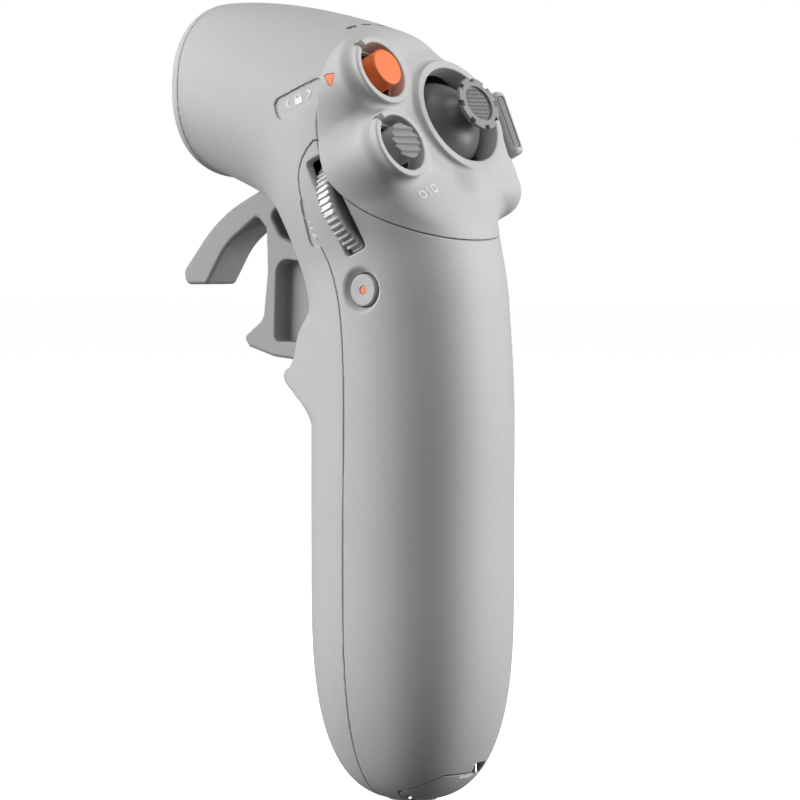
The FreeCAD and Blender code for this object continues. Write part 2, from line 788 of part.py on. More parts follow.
def build_joystick():
    """Base with a yoke that tips fore and aft, and a stick in the yoke that tips sideways."""
    x, t = STICK
    pivot = at(x, t, -size("stick_pivot"), frame=PANEL)
    floor = at(x, t, -size("thumb_board_top"), frame=PANEL)
    across = FACING_RIGHT
    along = Rotation(Vector(1, 0, 0), -90)

    case = block("stick_case", "2 * sizes.stick_base_half", "2 * sizes.stick_base_half",
                 "sizes.thumb_board_top - sizes.stick_base_top", floor)
    room = block("stick_room", "2 * (sizes.stick_base_half - sizes.stick_base_wall)",
                 "2 * (sizes.stick_base_half - sizes.stick_base_wall)", "20",
                 floor.multiply(Placement(Vector(0, 0, size("stick_base_wall")), Rotation())))
    shaft_hole = rod("stick_case_bore", "sizes.trunnion_radius + sizes.pin_gap", "4 * sizes.stick_base_half",
                     pivot.multiply(Placement(Vector(-2 * size("stick_base_half"), 0, 0), across)))
    node(cut("stick_base_form", cut("stick_base_cup", case, room), shaft_hole), "joystick_base")

    half_thick = size("yoke_thick") / 2
    low = pivot.multiply(Placement(Vector(0, 0, -half_thick), Rotation()))
    frame = block("yoke_plate", "2 * sizes.yoke_half", "2 * sizes.yoke_half", "sizes.yoke_thick", low)
    window = block("yoke_window", "2 * sizes.yoke_window", "2 * sizes.yoke_window", "10", low)
    reach = size("stick_base_half") - 0.1
    length = reach - (size("yoke_window") + size("yoke_half")) / 2
    trunnions = []
    for side in (-1, 1):
        start = side * (size("yoke_window") + size("yoke_half")) / 2
        place = pivot.multiply(Placement(Vector(min(start, start + side * length), 0, 0), across))
        trunnions.append(rod(f"yoke_trunnion_{side + 1}", "sizes.trunnion_radius", str(length), place))
    cross_hole = rod("yoke_bore", "sizes.trunnion_radius + sizes.pin_gap", "4 * sizes.yoke_half",
                     pivot.multiply(Placement(Vector(0, -2 * size("yoke_half"), 0), along)))
    ring = cut("yoke_ring", frame, window)
    node(cut("yoke_form", fuse("yoke_with_pins", ring, *trunnions), cross_hole), "joystick_yoke")

    dome = Part.makeSphere(size("dome_radius")).cut(Part.makeSphere(size("dome_radius") - size("dome_wall")))
    cap_level = size("stick_pivot") - size("dome_drop")
    dome = dome.common(Part.makeBox(30, 30, 30, Vector(-15, -15, cap_level)))
    knob_foot = size("stick_pivot") + size("knob_top") - size("knob_thick")
    stalk = Part.makeCone(size("stalk_radius") + 0.8, size("stalk_radius"),
                          knob_foot - size("dome_radius") + 0.5,
                          Vector(0, 0, size("dome_radius") - 0.5))
    post = Part.makeCylinder(1.6, size("dome_radius") - 0.3)
    cross = Part.makeCylinder(size("trunnion_radius"), 2 * size("yoke_half"),
                              Vector(0, -size("yoke_half"), 0), Vector(0, 1, 0))
    stick = dome.fuse([stalk, post, Part.makeSphere(2.2), cross])
    stick = freeform("stick_form", stick)
    stick.Placement = pivot
    node(stick, "joystick_dome")


def build_joystick_cap():
    """Round thumb pad with a notched rim round a sunken face."""
    x, t = STICK
    foot = size("knob_top") - size("knob_thick")
    body = new_body("joystick_cap_body", at(x, t, foot, frame=PANEL))
    pad(body, "knob_disc", circle_sketch(body, "knob_circle", "sizes.knob_radius"), "sizes.knob_thick")
    dish_sketch = circle_sketch(body, "knob_dish_circle", "sizes.knob_radius - 1.4")
    dish_sketch.AttachmentOffset = Placement(Vector(0, 0, size("knob_thick")), Rotation())
    dish = body.newObject("PartDesign::Pocket", "knob_dish")
    dish.Profile = dish_sketch
    dish.Length = 0.6
    notch_sketch = outline_sketch(body, "knob_notch_outline", [
        (size("knob_radius") - 2.0, -size("knob_notch") / 2, 0.1),
        (size("knob_radius") + 1.0, -size("knob_notch") / 2, 0.1),
        (size("knob_radius") + 1.0, size("knob_notch") / 2, 0.1),
        (size("knob_radius") - 2.0, size("knob_notch") / 2, 0.1)])
    notch_sketch.AttachmentOffset = Placement(Vector(0, 0, size("knob_thick")), Rotation())
    notch = body.newObject("PartDesign::Pocket", "knob_notch")
    notch.Profile = notch_sketch
    notch.Length = 0.9
    doc.recompute()
    pattern = body.newObject("PartDesign::PolarPattern", "knob_notches")
    pattern.Originals = [notch]
    pattern.Axis = (next(a for a in body.Origin.OriginFeatures if a.Role == "Z_Axis"), [""])
    pattern.Angle = 360
    bind(pattern, Occurrences="sizes.knob_teeth")
    body.Tip = pattern
    node(body, "joystick_cap")


# ---------------------------------------------------------------- side dial

def build_dial():
    """Wheel on a fixed axle: plain hub inside a ribbed ring, with its bracket and encoder."""
    half = size("dial_thick") / 2
    low = DIAL.multiply(Placement(Vector(0, 0, -half), Rotation()))
    hub = rod("dial_disc", "sizes.dial_radius - sizes.dial_rim", "sizes.dial_thick", low)
    bore = rod("dial_disc_bore", "sizes.dial_bore + sizes.pin_gap", "sizes.dial_thick", low)
    node(cut("dial_hub_form", hub, bore), "dial_hub")

    body = new_body("dial_rim_body", low)
    count = int(size("dial_ribs"))
    sketch = new_sketch(body, "dial_rib_outline")
    pitch = 2 * math.pi / count
    outline = []
    for rib in range(count):
        for share, radius in ((-0.32, 0.0), (-0.2, 1.0), (0.2, 1.0), (0.32, 0.0)):
            angle = (rib + share) * pitch
            reach = size("dial_radius") - size("dial_rib_depth") * (1 - radius)
            outline.append(Vector(reach * math.cos(angle), reach * math.sin(angle), 0))
    lines = [Part.LineSegment(begin, end) for begin, end in zip(outline, outline[1:] + outline[:1])]
    sketch.addGeometry(lines, False)
    pad(body, "dial_ribs_pad", sketch, "sizes.dial_thick")
    inner = body.newObject("PartDesign::Pocket", "dial_rim_bore")
    inner.Profile = circle_sketch(body, "dial_rim_circle", "sizes.dial_radius - sizes.dial_rim")
    inner.Midplane = True
    bind(inner, Length="sizes.dial_thick * 4")
    node(body, "dial_rim")

    def below(depth, x=0.0):
        return DIAL.multiply(Placement(Vector(x, 0, -depth), Rotation()))
    foot = size("dial_axle_foot")
    drop = size("dial_bracket_drop")
    node(rod("dial_axle_rod", "sizes.dial_bore", "sizes.dial_axle_length", below(foot)), "dial_axle")
    plate = block("dial_bracket_plate", "sizes.dial_bracket_side", "sizes.dial_bracket_side",
                  "sizes.dial_bracket_thick", below(drop, 2.0))
    hole = rod("dial_bracket_bore", "sizes.dial_bore", "2 * sizes.dial_bracket_thick", below(drop + 0.8))
    node(cut("dial_bracket_form", plate, hole), "dial_bracket")
    case = block("dial_encoder_case", "sizes.dial_encoder_side", "sizes.dial_encoder_side",
                 "sizes.dial_encoder_thick", below(foot))
    hole = rod("dial_encoder_bore", "sizes.dial_bore", "2 * sizes.dial_encoder_thick", below(foot + 1.0))
    node(cut("dial_encoder_form", case, hole), "dial_encoder")


# ---------------------------------------------------------------- record and power buttons

def build_record_button():
    middle = (size("record_forward"), size("record_height"))
    face = size("record_face")

    def inward(x):
        return at(-x, *middle, FACING_RIGHT)
    cap = rod("record_cap", "sizes.record_radius",
              "sizes.record_face - sizes.record_flange + sizes.cap_flange_thick", inward(face))
    flange = rod("record_flange_disc", "sizes.record_radius + sizes.record_flange_lip",
                 "sizes.cap_flange_thick", inward(size("record_flange")))
    plunger = rod("record_plunger_rod", "sizes.record_plunger_radius", "sizes.record_plunger",
                  inward(size("record_flange")))
    hole = rod("record_dot_bore", "sizes.record_dot_radius", "1.2", inward(face))
    node(cut("record_form", fuse("record_solid", cap, flange, plunger), hole), "record_button")
    node(rod("record_dot_rod", "sizes.record_dot_radius", "1.0", inward(face - 0.2)), "record_dot")
    board = size("side_board_face")
    board_foot = at(-board + size("board_thick"), size("record_forward"),
                    size("record_height") - 0.8, FACING_LEFT)
    node(block("side_board_plate", "sizes.side_board_length", "sizes.side_board_width",
               "sizes.board_thick", board_foot), "side_board")
    switch("record_switch", at(-board, *middle, FACING_LEFT))


def build_power_button():
    """Side key with rounded edges, a darker face plate and a stem through the panel's flank."""
    outer_x = size("power_outer")
    inner_x = size("power_inner")
    middle = (outer_x + inner_x) / 2
    foot = size("power_back") - size("power_depth") / 2
    slab = block("power_slab", "sizes.power_outer - sizes.power_inner", "sizes.power_length",
                 "sizes.power_depth", at(middle, size("power_up"), foot, frame=PANEL))
    doc.recompute()
    rounded = doc.addObject("Part::Fillet", "power_rounded")
    rounded.Base = slab
    rounded.Edges = [(index + 1, size("power_edge"), size("power_edge")) for index in range(12)]
    top = foot + size("power_depth")
    face_foot = at(middle, size("power_up"), top - size("power_face_depth"), frame=PANEL)
    recess = block("power_recess", "sizes.power_face_width", "sizes.power_length - 2 * sizes.power_edge",
                   "3 * sizes.power_face_depth", face_foot)
    stem_length = inner_x + 0.2 - size("power_stem_end")
    stem = block("power_stem_bar", str(stem_length), "sizes.power_stem", "sizes.power_stem",
                 at(size("power_stem_end") + stem_length / 2, size("power_stem_up"),
                    size("power_stem_back") - size("power_stem") / 2, frame=PANEL))
    node(cut("power_form", fuse("power_solid", rounded, stem), recess), "power_button")
    node(block("power_face_plate", "sizes.power_face_width - 0.04",
               "sizes.power_length - 2 * sizes.power_edge - 0.04",
               "sizes.power_face_depth - 0.1", face_foot), "power_face")
    place = at(size("power_board_face"), size("power_stem_up") - 0.5,
               size("power_stem_back") - size("power_switch_drop"), FACING_RIGHT, PANEL)
    case = block("power_switch_case", "2.6", "3.0", "1.2", place)
    stem = rod("power_switch_stem", "0.8", "1.4", place)
    node(fuse("power_switch_form", case, stem), "power_switch")
    back = place.multiply(Placement(Vector(0.7, -1.2, -size("board_thick")), Rotation()))
    node(block("power_board_plate", "4.0", "4.6", "sizes.board_thick", back), "power_board")


# ---------------------------------------------------------------- trigger

def build_trigger():
    """Two-way lever: a hook that the finger pushes forward over a tab that it pulls back."""
    body = new_body("trigger_body", HERE)
    hub_y = size("trigger_pivot_forward")
    hub_z = size("trigger_pivot_height")
    hub = size("trigger_hub_radius")
    outline = [
        (hub_y - hub, hub_z + hub, 2.6), (hub_y + hub, hub_z + hub, 2.6),      # hub
        (hub_y + 4.6, hub_z - 7.4, 2.5),                                       # arm leaves the barrel
        (59.6, 107.6, 1.2), (58.6, 105.9, 1.0), (51.6, 105.2, 1.2),            # hook and its tip
        (43.2, 110.6, 6.0), (38.6, 119.4, 1.0), (36.1, 117.0, 1.2),            # under the hook
        (35.8, 108.0, 8.0), (37.0, 98.0, 3.0), (42.4, 94.2, 0.9),              # tab and its toe
        (41.0, 92.2, 0.9), (34.0, 90.2, 6.0), (21.5, 89.0, 1.5),               # foot of the tab
        (21.5, 111.4, 1.5), (31.8, 115.2, 2.5), (34.6, 119.6, 1.5),            # back of the tab
        (28.0, 126.0, 2.0),
    ]
    profile = outline_sketch(body, "trigger_outline", outline, "YZ_Plane")
    pad(body, "trigger_plate", profile, "2 * sizes.trigger_half_width", midplane=True)
    pocket_outline = [(33.6, 93.4, 1.4), (33.0, 110.8, 3.0), (23.6, 109.6, 1.5), (23.6, 93.4, 1.4)]
    for side, label in ((1, "right"), (-1, "left")):
        sketch = outline_sketch(body, f"trigger_pocket_{label}_outline", pocket_outline, "YZ_Plane")
        sketch.AttachmentOffset = Placement(Vector(0, 0, side * size("trigger_half_width")), Rotation())
        pocket = body.newObject("PartDesign::Pocket", f"trigger_pocket_{label}")
        pocket.Profile = sketch
        pocket.Reversed = side < 0
        bind(pocket, Length="sizes.trigger_pocket_depth")
    bore = body.newObject("PartDesign::Pocket", "trigger_bore")
    bore.Profile = circle_sketch(body, "trigger_bore_circle", "sizes.trigger_pin_radius + sizes.pin_gap",
                                 (hub_y, hub_z), "YZ_Plane")
    bore.Midplane = True
    bind(bore, Length="4 * sizes.trigger_half_width")
    node(body, "trigger")
    node(rod("trigger_magnet_disc", "1.2", "0.6", at(0, hub_y, hub_z + hub)), "trigger_magnet")


def coil(name, radius, wire, pitch, turns, placement):
    """Round-wire coil spring along the placement's Z."""
    helix = Part.makeHelix(pitch, pitch * turns, radius)
    ring = Part.Wire(Part.makeCircle(wire, Vector(radius, 0, 0), Vector(0, 1, 0)))
    spring = Part.Wire(helix.Edges).makePipeShell([ring], True, True)
    thing = freeform(name, spring)
    thing.Placement = placement
    return thing


def build_trigger_mount():
    hub_y = size("trigger_pivot_forward")
    hub_z = size("trigger_pivot_height")
    low = hub_z - 3.0
    top = hub_z + size("trigger_hub_radius") + 1.2
    outside = size("trigger_slot_half") + 1.4
    case = block("bracket_block", str(2 * outside), "9", str(top + 1.2 - low), at(0, hub_y, low))
    room = block("bracket_room", "2 * sizes.trigger_slot_half", "10", str(top - low + 1),
                 at(0, hub_y, low - 1))
    pin_half = size("trigger_pin_half")
    left = at(-pin_half, hub_y, hub_z, FACING_RIGHT)
    hole = rod("bracket_bore", "sizes.trigger_pin_radius", "2 * sizes.trigger_pin_half", left)
    node(cut("bracket_form", cut("bracket_channel", case, room), hole), "trigger_bracket")
    node(rod("trigger_pin_rod", "sizes.trigger_pin_radius", "2 * sizes.trigger_pin_half", left),
         "trigger_pin")
    node(coil("trigger_spring_form", size("trigger_pin_radius") + 0.55, 0.3, 0.7, 4,
              at(outside + 0.4, hub_y, hub_z, FACING_RIGHT)), "trigger_spring")
    node(block("hall_sensor_chip", "3", "3", "1", at(0, hub_y, top + 1.2)), "hall_sensor")


# ---------------------------------------------------------------- battery and inner frame

def build_battery():
    foot = size("cell_foot")
    back = size("cell_back")
    node(rod("cell_can", "sizes.cell_radius", "sizes.cell_length", at(0, back, foot)), "battery_cell")
    end = 2.4
    trough = rod("tray_tube", "sizes.cell_radius + 0.1 + sizes.tray_wall", "sizes.cell_length + 4.8",
                 at(0, back, foot - end))
    room = rod("tray_room", "sizes.cell_radius + 0.1", "sizes.cell_length + 1.0", at(0, back, foot - 0.5))
    open_side = block("tray_opening", "40", "20", "sizes.cell_length + 10", at(0, back + 12.0, foot - 5.0))
    node(cut("tray_form", cut("tray_shell", trough, room), open_side), "battery_tray")
    top = foot + size("cell_length")
    contacts = [rod(name, "sizes.contact_radius", "sizes.contact_thick", at(0, back, height))
                for name, height in (("contact_low", foot - size("contact_thick")), ("contact_high", top))]
    node(group("contact_group", *contacts), "battery_contacts")


def build_inner_frame():
    """Plate between the battery and the front shell, held by four screws."""
    y = size("frame_forward")
    thick = size("frame_thick")
    plate = block("frame_plate", "sizes.frame_width", "sizes.frame_thick", "sizes.frame_height",
                  at(0, y + thick / 2, size("frame_foot")))
    window = block("frame_window", "sizes.frame_width - 9", "4", "sizes.frame_height - 24",
                   at(0, y, size("frame_foot") + 12.0))
    holes = []
    screws = []
    for index, spot in enumerate(boss_spots()):
        back = spot.multiply(Placement(Vector(0, 0, -thick), Rotation()))
        holes.append(rod(f"frame_hole_{index}", "sizes.screw_radius", "sizes.frame_thick", back))
        head_foot = back.multiply(Placement(Vector(0, 0, -1.2), Rotation()))
        head = rod(f"screw_head_{index}", "sizes.screw_radius * 2", "1.2", head_foot)
        shank = rod(f"screw_shank_{index}", "sizes.screw_radius", "sizes.frame_thick + 5.8", head_foot)
        screws.append(fuse(f"screw_{index}", head, shank))
    open_plate = cut("frame_open", plate, window)
    node(cut("frame_form", open_plate, fuse("frame_holes", *holes)), "inner_frame")
    node(group("frame_screw_group", *screws), "frame_screws")


def build_main_board():
    """Horizontal board in the barrel with its shield can, motion sensor and buzzer."""
    y = size("main_board_forward")
    z = size("main_board_height")
    top = z + size("board_thick")
    node(block("main_board_plate", "sizes.main_board_width", "sizes.main_board_length", "sizes.board_thick",
               at(0, y, z)), "main_board")
    node(block("shield_lid", "sizes.shield_side", "sizes.shield_side", "sizes.shield_thick",
               at(-4, y + 2, top)), "shield_can")
    node(block("motion_sensor_chip", "sizes.chip_side", "sizes.chip_side", "sizes.chip_thick",
               at(9, y - 6, top)), "motion_sensor")
    node(rod("buzzer_can", "sizes.buzzer_radius", "sizes.buzzer_thick",
             at(8, y - 6, z - size("buzzer_thick"))), "buzzer")
    node(block("aerial_plate", "sizes.aerial_width", "sizes.aerial_thick", "sizes.aerial_height",
               at(0, size("aerial_forward"), z - size("aerial_height") / 2)), "aerial_board")


# ---------------------------------------------------------------- charging socket and its cover

def build_usb():
    y = size("socket_back")
    z = size("socket_foot")
    shell = block("socket_block", "sizes.socket_width", "sizes.socket_thick", "sizes.socket_length",
                  at(0, y, z))
    doc.recompute()
    rounded = doc.addObject("Part::Fillet", "socket_rounded")
    rounded.Base = shell
    upright = [index + 1 for index, edge in enumerate(shell.Shape.Edges)
               if edge.BoundBox.ZLength > size("socket_length") - 0.1]
    rounded.Edges = [(index, 1.3, 1.3) for index in upright]
    mouth = block("socket_mouth", "sizes.socket_width - 2 * sizes.socket_wall - 0.6",
                  "sizes.socket_thick - 2 * sizes.socket_wall", "sizes.socket_length - 0.79", at(0, y, z - 0.01))
    node(cut("socket_form", rounded, mouth), "usb_socket")
    tongue_foot = z + size("socket_length") - 0.8 - size("tongue_length")
    node(block("socket_tongue", "sizes.tongue_width", "sizes.tongue_thick", "sizes.tongue_length",
               at(0, y, tongue_foot)), "usb_tongue")
    board_y = y + (size("socket_thick") + size("usb_board_thick")) / 2
    node(block("usb_board_plate", "sizes.usb_board_width", "sizes.usb_board_thick", "sizes.usb_board_height",
               at(0, board_y, size("usb_board_foot"))), "usb_board")
    level = size("port_plate_height")
    plate = block("port_plate_block", "sizes.port_plate_width", "sizes.port_plate_length", "1",
                  at(0, y - 0.75, level))
    slot = block("port_plate_slot", "sizes.socket_width", "sizes.socket_thick", "3", at(0, y, level - 1))
    node(cut("port_plate_form", plate, slot), "port_plate")
    pin_half = size("cover_pin_half")
    node(rod("cover_pin_rod", "sizes.cover_pin_radius", "2 * sizes.cover_pin_half",
             at(-pin_half, size("cover_hinge"), size("cover_hinge_height"), FACING_RIGHT)), "cover_pin")
    node(rod("lanyard_rod", "sizes.lanyard_radius", "sizes.lanyard_length", lanyard_place()), "lanyard_bar")


def build_usb_cover():
    """Flap over the charging socket: part of the foot's own surface, with a hinge knuckle in front."""
    hinge_y = size("cover_hinge")
    hinge_z = size("cover_hinge_height")
    half = size("cover_half_width")
    top = size("cover_top")
    flap = outer.common(Part.makeBox(2 * half, 30, top + 5, Vector(-half, hinge_y - 30, -5))).cut(hollow)
    lug_inside = size("cover_lug_side") - size("cover_lug_width") / 2 - size("cover_gap")
    knuckle = cylinder(size("cover_knuckle"), 2 * lug_inside, at(-lug_inside, hinge_y, hinge_z, FACING_RIGHT))
    clear = size("cover_knuckle") + size("cover_gap")
    tools = []
    for side in (-1, 1):
        width = size("cover_lug_width") + 2 * size("cover_gap")
        start = side * size("cover_lug_side") - width / 2
        tools.append(cylinder(clear, width, at(start, hinge_y, hinge_z, FACING_RIGHT)))
    pin = cylinder(size("cover_pin_radius") + size("pin_gap"), 4 * half,
                   at(-2 * half, hinge_y, hinge_z, FACING_RIGHT))
    socket_room = brick(size("socket_width") + 0.6, size("socket_thick") + 0.6, 20.0,
                        at(0, size("socket_back"), size("socket_foot") + 9.7))
    flap = flap.fuse(knuckle).cut(tools + [pin, socket_room])
    node(freeform("usb_cover_form", flap), "usb_cover")


# ---------------------------------------------------------------- build, check and write

def write_parts():
    """Recompute, refuse anything broken, then write one file per sub-part."""
    doc.recompute()
    for thing in doc.Objects:
        bad = {"Invalid", "Error"} & set(thing.State)
        if bad:
            raise RuntimeError(f"{thing.Label}: {sorted(bad)}")
    os.makedirs("parts", exist_ok=True)
    for thing in nodes:
        shape = thing.Shape
        if shape.isNull() or not shape.isValid() or shape.Volume <= 0:
            raise RuntimeError(f"{thing.Label}: bad shape")
        shape.exportStep(os.path.join("parts", f"{thing.Label}.step"))
        print(f"{thing.Label:18s} solids {len(shape.Solids)}  volume {shape.Volume:9.1f}")
    print(len(nodes), "nodes")


build_front_shell()
build_rear_shell()
build_thumb_panel()
build_front_cap()
build_pointer_mark()
build_status_lights()
build_well("lock_well", *LOCK)
build_well("mode_well", *MODE)
build_lock_button()
build_mode_button()
build_thumb_board()
build_joystick()
build_joystick_cap()
build_dial()
build_record_button()
build_power_button()
build_trigger()
build_trigger_mount()
build_battery()
build_inner_frame()
build_main_board()
build_usb()
build_usb_cover()
write_parts()
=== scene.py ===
"""Looks of the hand-held motion controller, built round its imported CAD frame.

The moulded parts are modelled as fields: functions of millimetre coordinates in the CAD frame that
are negative inside the part.  Fields are joined and cut with rounded edges, then meshed, so every
edge, flare and seam has a real radius.
"""
import math
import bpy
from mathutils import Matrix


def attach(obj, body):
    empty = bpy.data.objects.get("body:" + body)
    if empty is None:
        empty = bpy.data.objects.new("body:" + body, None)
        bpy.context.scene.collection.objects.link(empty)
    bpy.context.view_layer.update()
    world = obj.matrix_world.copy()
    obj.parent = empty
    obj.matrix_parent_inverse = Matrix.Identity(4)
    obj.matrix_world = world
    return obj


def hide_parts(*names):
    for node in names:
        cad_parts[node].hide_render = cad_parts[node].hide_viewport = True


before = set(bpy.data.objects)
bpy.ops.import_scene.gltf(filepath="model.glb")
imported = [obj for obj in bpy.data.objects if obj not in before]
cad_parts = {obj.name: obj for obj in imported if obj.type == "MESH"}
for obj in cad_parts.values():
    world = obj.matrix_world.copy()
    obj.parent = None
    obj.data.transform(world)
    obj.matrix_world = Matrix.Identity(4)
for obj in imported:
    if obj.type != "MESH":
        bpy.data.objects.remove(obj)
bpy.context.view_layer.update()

from concurrent.futures import ThreadPoolExecutor

import bpy
import numpy as np
from mathutils import Vector

MM = 0.001                         # fields are in millimetres, the scene is in metres
COARSE = 1.0
THREADS = 4

# ---------------------------------------------------------------- field algebra


def join(a, b, radius):
    """Union of two fields with a concave fillet."""
    corner = np.hypot(np.maximum(radius - a, 0), np.maximum(radius - b, 0))
    return np.maximum(radius, np.minimum(a, b)) - corner


def meet(a, b, radius):
    """Intersection of two fields with a rounded edge."""
    corner = np.hypot(np.maximum(radius + a, 0), np.maximum(radius + b, 0))
    return np.minimum(-radius, np.maximum(a, b)) + corner


def carve(a, b, radius):
    """Field a with b taken out of it, the new edge rounded."""
    return meet(a, -b, radius)


def round_box(x, y, z, half, radius):
    """Box about the origin with every edge rounded."""
    gaps = [np.abs(c) - (h - radius) for c, h in zip((x, y, z), half)]
    outside = np.sqrt(sum(np.maximum(g, 0) ** 2 for g in gaps))
    return outside + np.minimum(np.maximum(np.maximum(gaps[0], gaps[1]), gaps[2]), 0) - radius


def flat_box(x, y, half, radius):
    """Rectangle about the origin with rounded corners."""
    across, along = np.abs(x) - (half[0] - radius), np.abs(y) - (half[1] - radius)
    outside = np.hypot(np.maximum(across, 0), np.maximum(along, 0))
    return outside + np.minimum(np.maximum(across, along), 0) - radius


def disc(reach, height, radius, top, foot, edge):
    """Round post: `reach` is distance from its axis, `height` is along it."""
    return meet(meet(reach - radius, height - top, edge), foot - height, edge)


# ---------------------------------------------------------------- meshing


def evaluate(field, points):
    """Field values at an (n, 3) array of points, spread over threads."""
    parts = np.array_split(points, max(1, len(points) // 60000))
    with ThreadPoolExecutor(THREADS) as pool:
        return np.concatenate(list(pool.map(lambda p: field(p[:, 0], p[:, 1], p[:, 2]), parts)))


def slope(field, points, reach=0.02):
    """Gradient of a field by central differences."""
    gradient = np.empty_like(points)
    for axis in range(3):
        offset = np.zeros(3)
        offset[axis] = reach
        ahead, behind = evaluate(field, points + offset), evaluate(field, points - offset)
        gradient[:, axis] = (ahead - behind) / (2 * reach)
    return gradient


def settle(field, points, step, rounds):
    """Move points onto the zero surface, never further than a share of a step."""
    for _ in range(rounds):
        gradient = slope(field, points)
        length = np.maximum((gradient ** 2).sum(1), 0.05)
        shift = evaluate(field, points) / length
        limit = 0.5 * step / np.sqrt(length)
        points = points - gradient * np.clip(shift, -limit, limit)[:, None]
    return points


def sample(field, low, high, step):
    """Field values on a grid.  Blocks that the surface can't reach are filled, not evaluated."""
    block = 8
    counts = [int(math.ceil((b - a + 4 * step) / step / block)) for a, b in zip(low, high)]
    origin = np.asarray(low, float) - 2 * step
    centres = [origin[i] + (np.arange(counts[i]) + 0.5) * block * step for i in range(3)]
    coarse = np.stack(np.meshgrid(*centres, indexing="ij"), -1).reshape(-1, 3)
    rough = evaluate(field, coarse)
    near = np.abs(rough) < block * step * 1.4
    values = np.repeat(np.sign(rough).reshape(counts).astype(np.float32), block, 0)
    values = np.repeat(np.repeat(values, block, 1), block, 2)
    mask = np.repeat(near.reshape(counts), block, 0)
    mask = np.repeat(np.repeat(mask, block, 1), block, 2)
    spots = np.argwhere(mask)
    values[mask] = evaluate(field, origin + spots * step)
    return origin, values


def surface_net(origin, values, step):
    """Vertices and quads of the zero surface of a grid of values."""
    inside = values < 0
    cells = tuple(n - 1 for n in values.shape)
    count = np.zeros(cells, np.int8)
    for corner in np.ndindex(2, 2, 2):
        count += inside[tuple(slice(c, c + n) for c, n in zip(corner, cells))]
    spots = np.argwhere((count > 0) & (count < 8))
    number = np.full(cells, -1, np.int32)
    number[tuple(spots.T)] = np.arange(len(spots))
    total, hits = np.zeros((len(spots), 3)), np.zeros(len(spots))
    for axis in range(3):
        others = [i for i in range(3) if i != axis]
        for pair in np.ndindex(2, 2):
            start = np.zeros(3, int)
            start[others[0]], start[others[1]] = pair
            end = start.copy()
            end[axis] = 1
            a = values[tuple((spots + start).T)].astype(float)
            b = values[tuple((spots + end).T)].astype(float)
            crossed = (a < 0) != (b < 0)
            share = np.where(crossed, a / np.where(crossed, a - b, 1.0), 0.0)
            place = np.repeat(start[None].astype(float), len(spots), 0)
            place[:, axis] += share
            total += place * crossed[:, None]
            hits += crossed
    points = origin + (spots + total / hits[:, None]) * step
    quads = []
    for axis in range(3):
        others = [i for i in range(3) if i != axis]
        one = [slice(1, -1)] * 3
        two = [slice(1, -1)] * 3
        one[axis], two[axis] = slice(0, -1), slice(1, None)
        a, b = inside[tuple(one)], inside[tuple(two)]
        for wanted, order in ((a & ~b, (0, 1, 2, 3)), (~a & b, (3, 2, 1, 0))):
            base = np.argwhere(wanted)
            base[:, others[0]] += 1
            base[:, others[1]] += 1
            ring = []
            for back in ((1, 1), (0, 1), (0, 0), (1, 0)):
                cell = base.copy()
                cell[:, others[0]] -= back[0]
                cell[:, others[1]] -= back[1]
                ring.append(number[tuple(cell.T)])
            ring = np.stack([ring[i] for i in order], 1)
            quads.append(ring if axis != 1 else ring[:, ::-1])
    return points, np.concatenate(quads)


def thin_out(name, points, faces, limit):
    """Collapse the flattest edges until a mesh has at most `limit` triangles."""
    mesh = bpy.data.meshes.new(name)
    fill_mesh(mesh, points, faces)
    worker = bpy.data.objects.new(name, mesh)
    bpy.context.scene.collection.objects.link(worker)
    modifier = worker.modifiers.new("thin", "DECIMATE")
    modifier.ratio = limit / (2 * len(faces))
    thin = bpy.data.meshes.new_from_object(worker.evaluated_get(bpy.context.evaluated_depsgraph_get()))
    points, faces = read_mesh(thin)
    bpy.data.objects.remove(worker)
    bpy.data.meshes.remove(mesh)
    bpy.data.meshes.remove(thin)
    return points, faces


def fill_mesh(mesh, points, faces):
    """Write points and equal-sided faces into an empty mesh."""
    sides = faces.shape[1]
    mesh.vertices.add(len(points))
    mesh.vertices.foreach_set("co", np.asarray(points, np.float32).ravel())
    mesh.loops.add(faces.size)
    mesh.loops.foreach_set("vertex_index", faces.astype(np.int32).ravel())
    mesh.polygons.add(len(faces))
    mesh.polygons.foreach_set("loop_start", np.arange(len(faces), dtype=np.int32) * sides)
    mesh.polygons.foreach_set("use_smooth", np.ones(len(faces), bool))
    mesh.update(calc_edges=True)


def read_mesh(mesh):
    """Points and triangles of a mesh."""
    points = np.empty(len(mesh.vertices) * 3, np.float32)
    mesh.vertices.foreach_get("co", points)
    mesh.calc_loop_triangles()
    faces = np.empty(len(mesh.loop_triangles) * 3, np.int32)
    mesh.loop_triangles.foreach_get("vertices", faces)
    return points.reshape(-1, 3).astype(float), faces.reshape(-1, 3)


def mould(name, field, low, high, step, limit=180000):
    """Mesh object of a field inside a box."""
    step = step * COARSE
    points, faces = surface_net(*sample(field, low, high, step), step)
    points = settle(field, points, step, 2)
    if 2 * len(faces) > limit:
        points, faces = thin_out(name, points, faces, limit)
        points = settle(field, points, step, 1)
    mesh = bpy.data.meshes.new(name)
    fill_mesh(mesh, points * MM, faces)
    normals = slope(field, points)
    normals /= np.maximum(np.linalg.norm(normals, axis=1), 1e-6)[:, None]
    mesh.normals_split_custom_set_from_vertices(normals)
    piece = bpy.data.objects.new(name, mesh)
    bpy.context.scene.collection.objects.link(piece)
    print(f"{name}: {len(points)} points, {len(faces)} faces", flush=True)
    return piece


# ---------------------------------------------------------------- side-view outlines


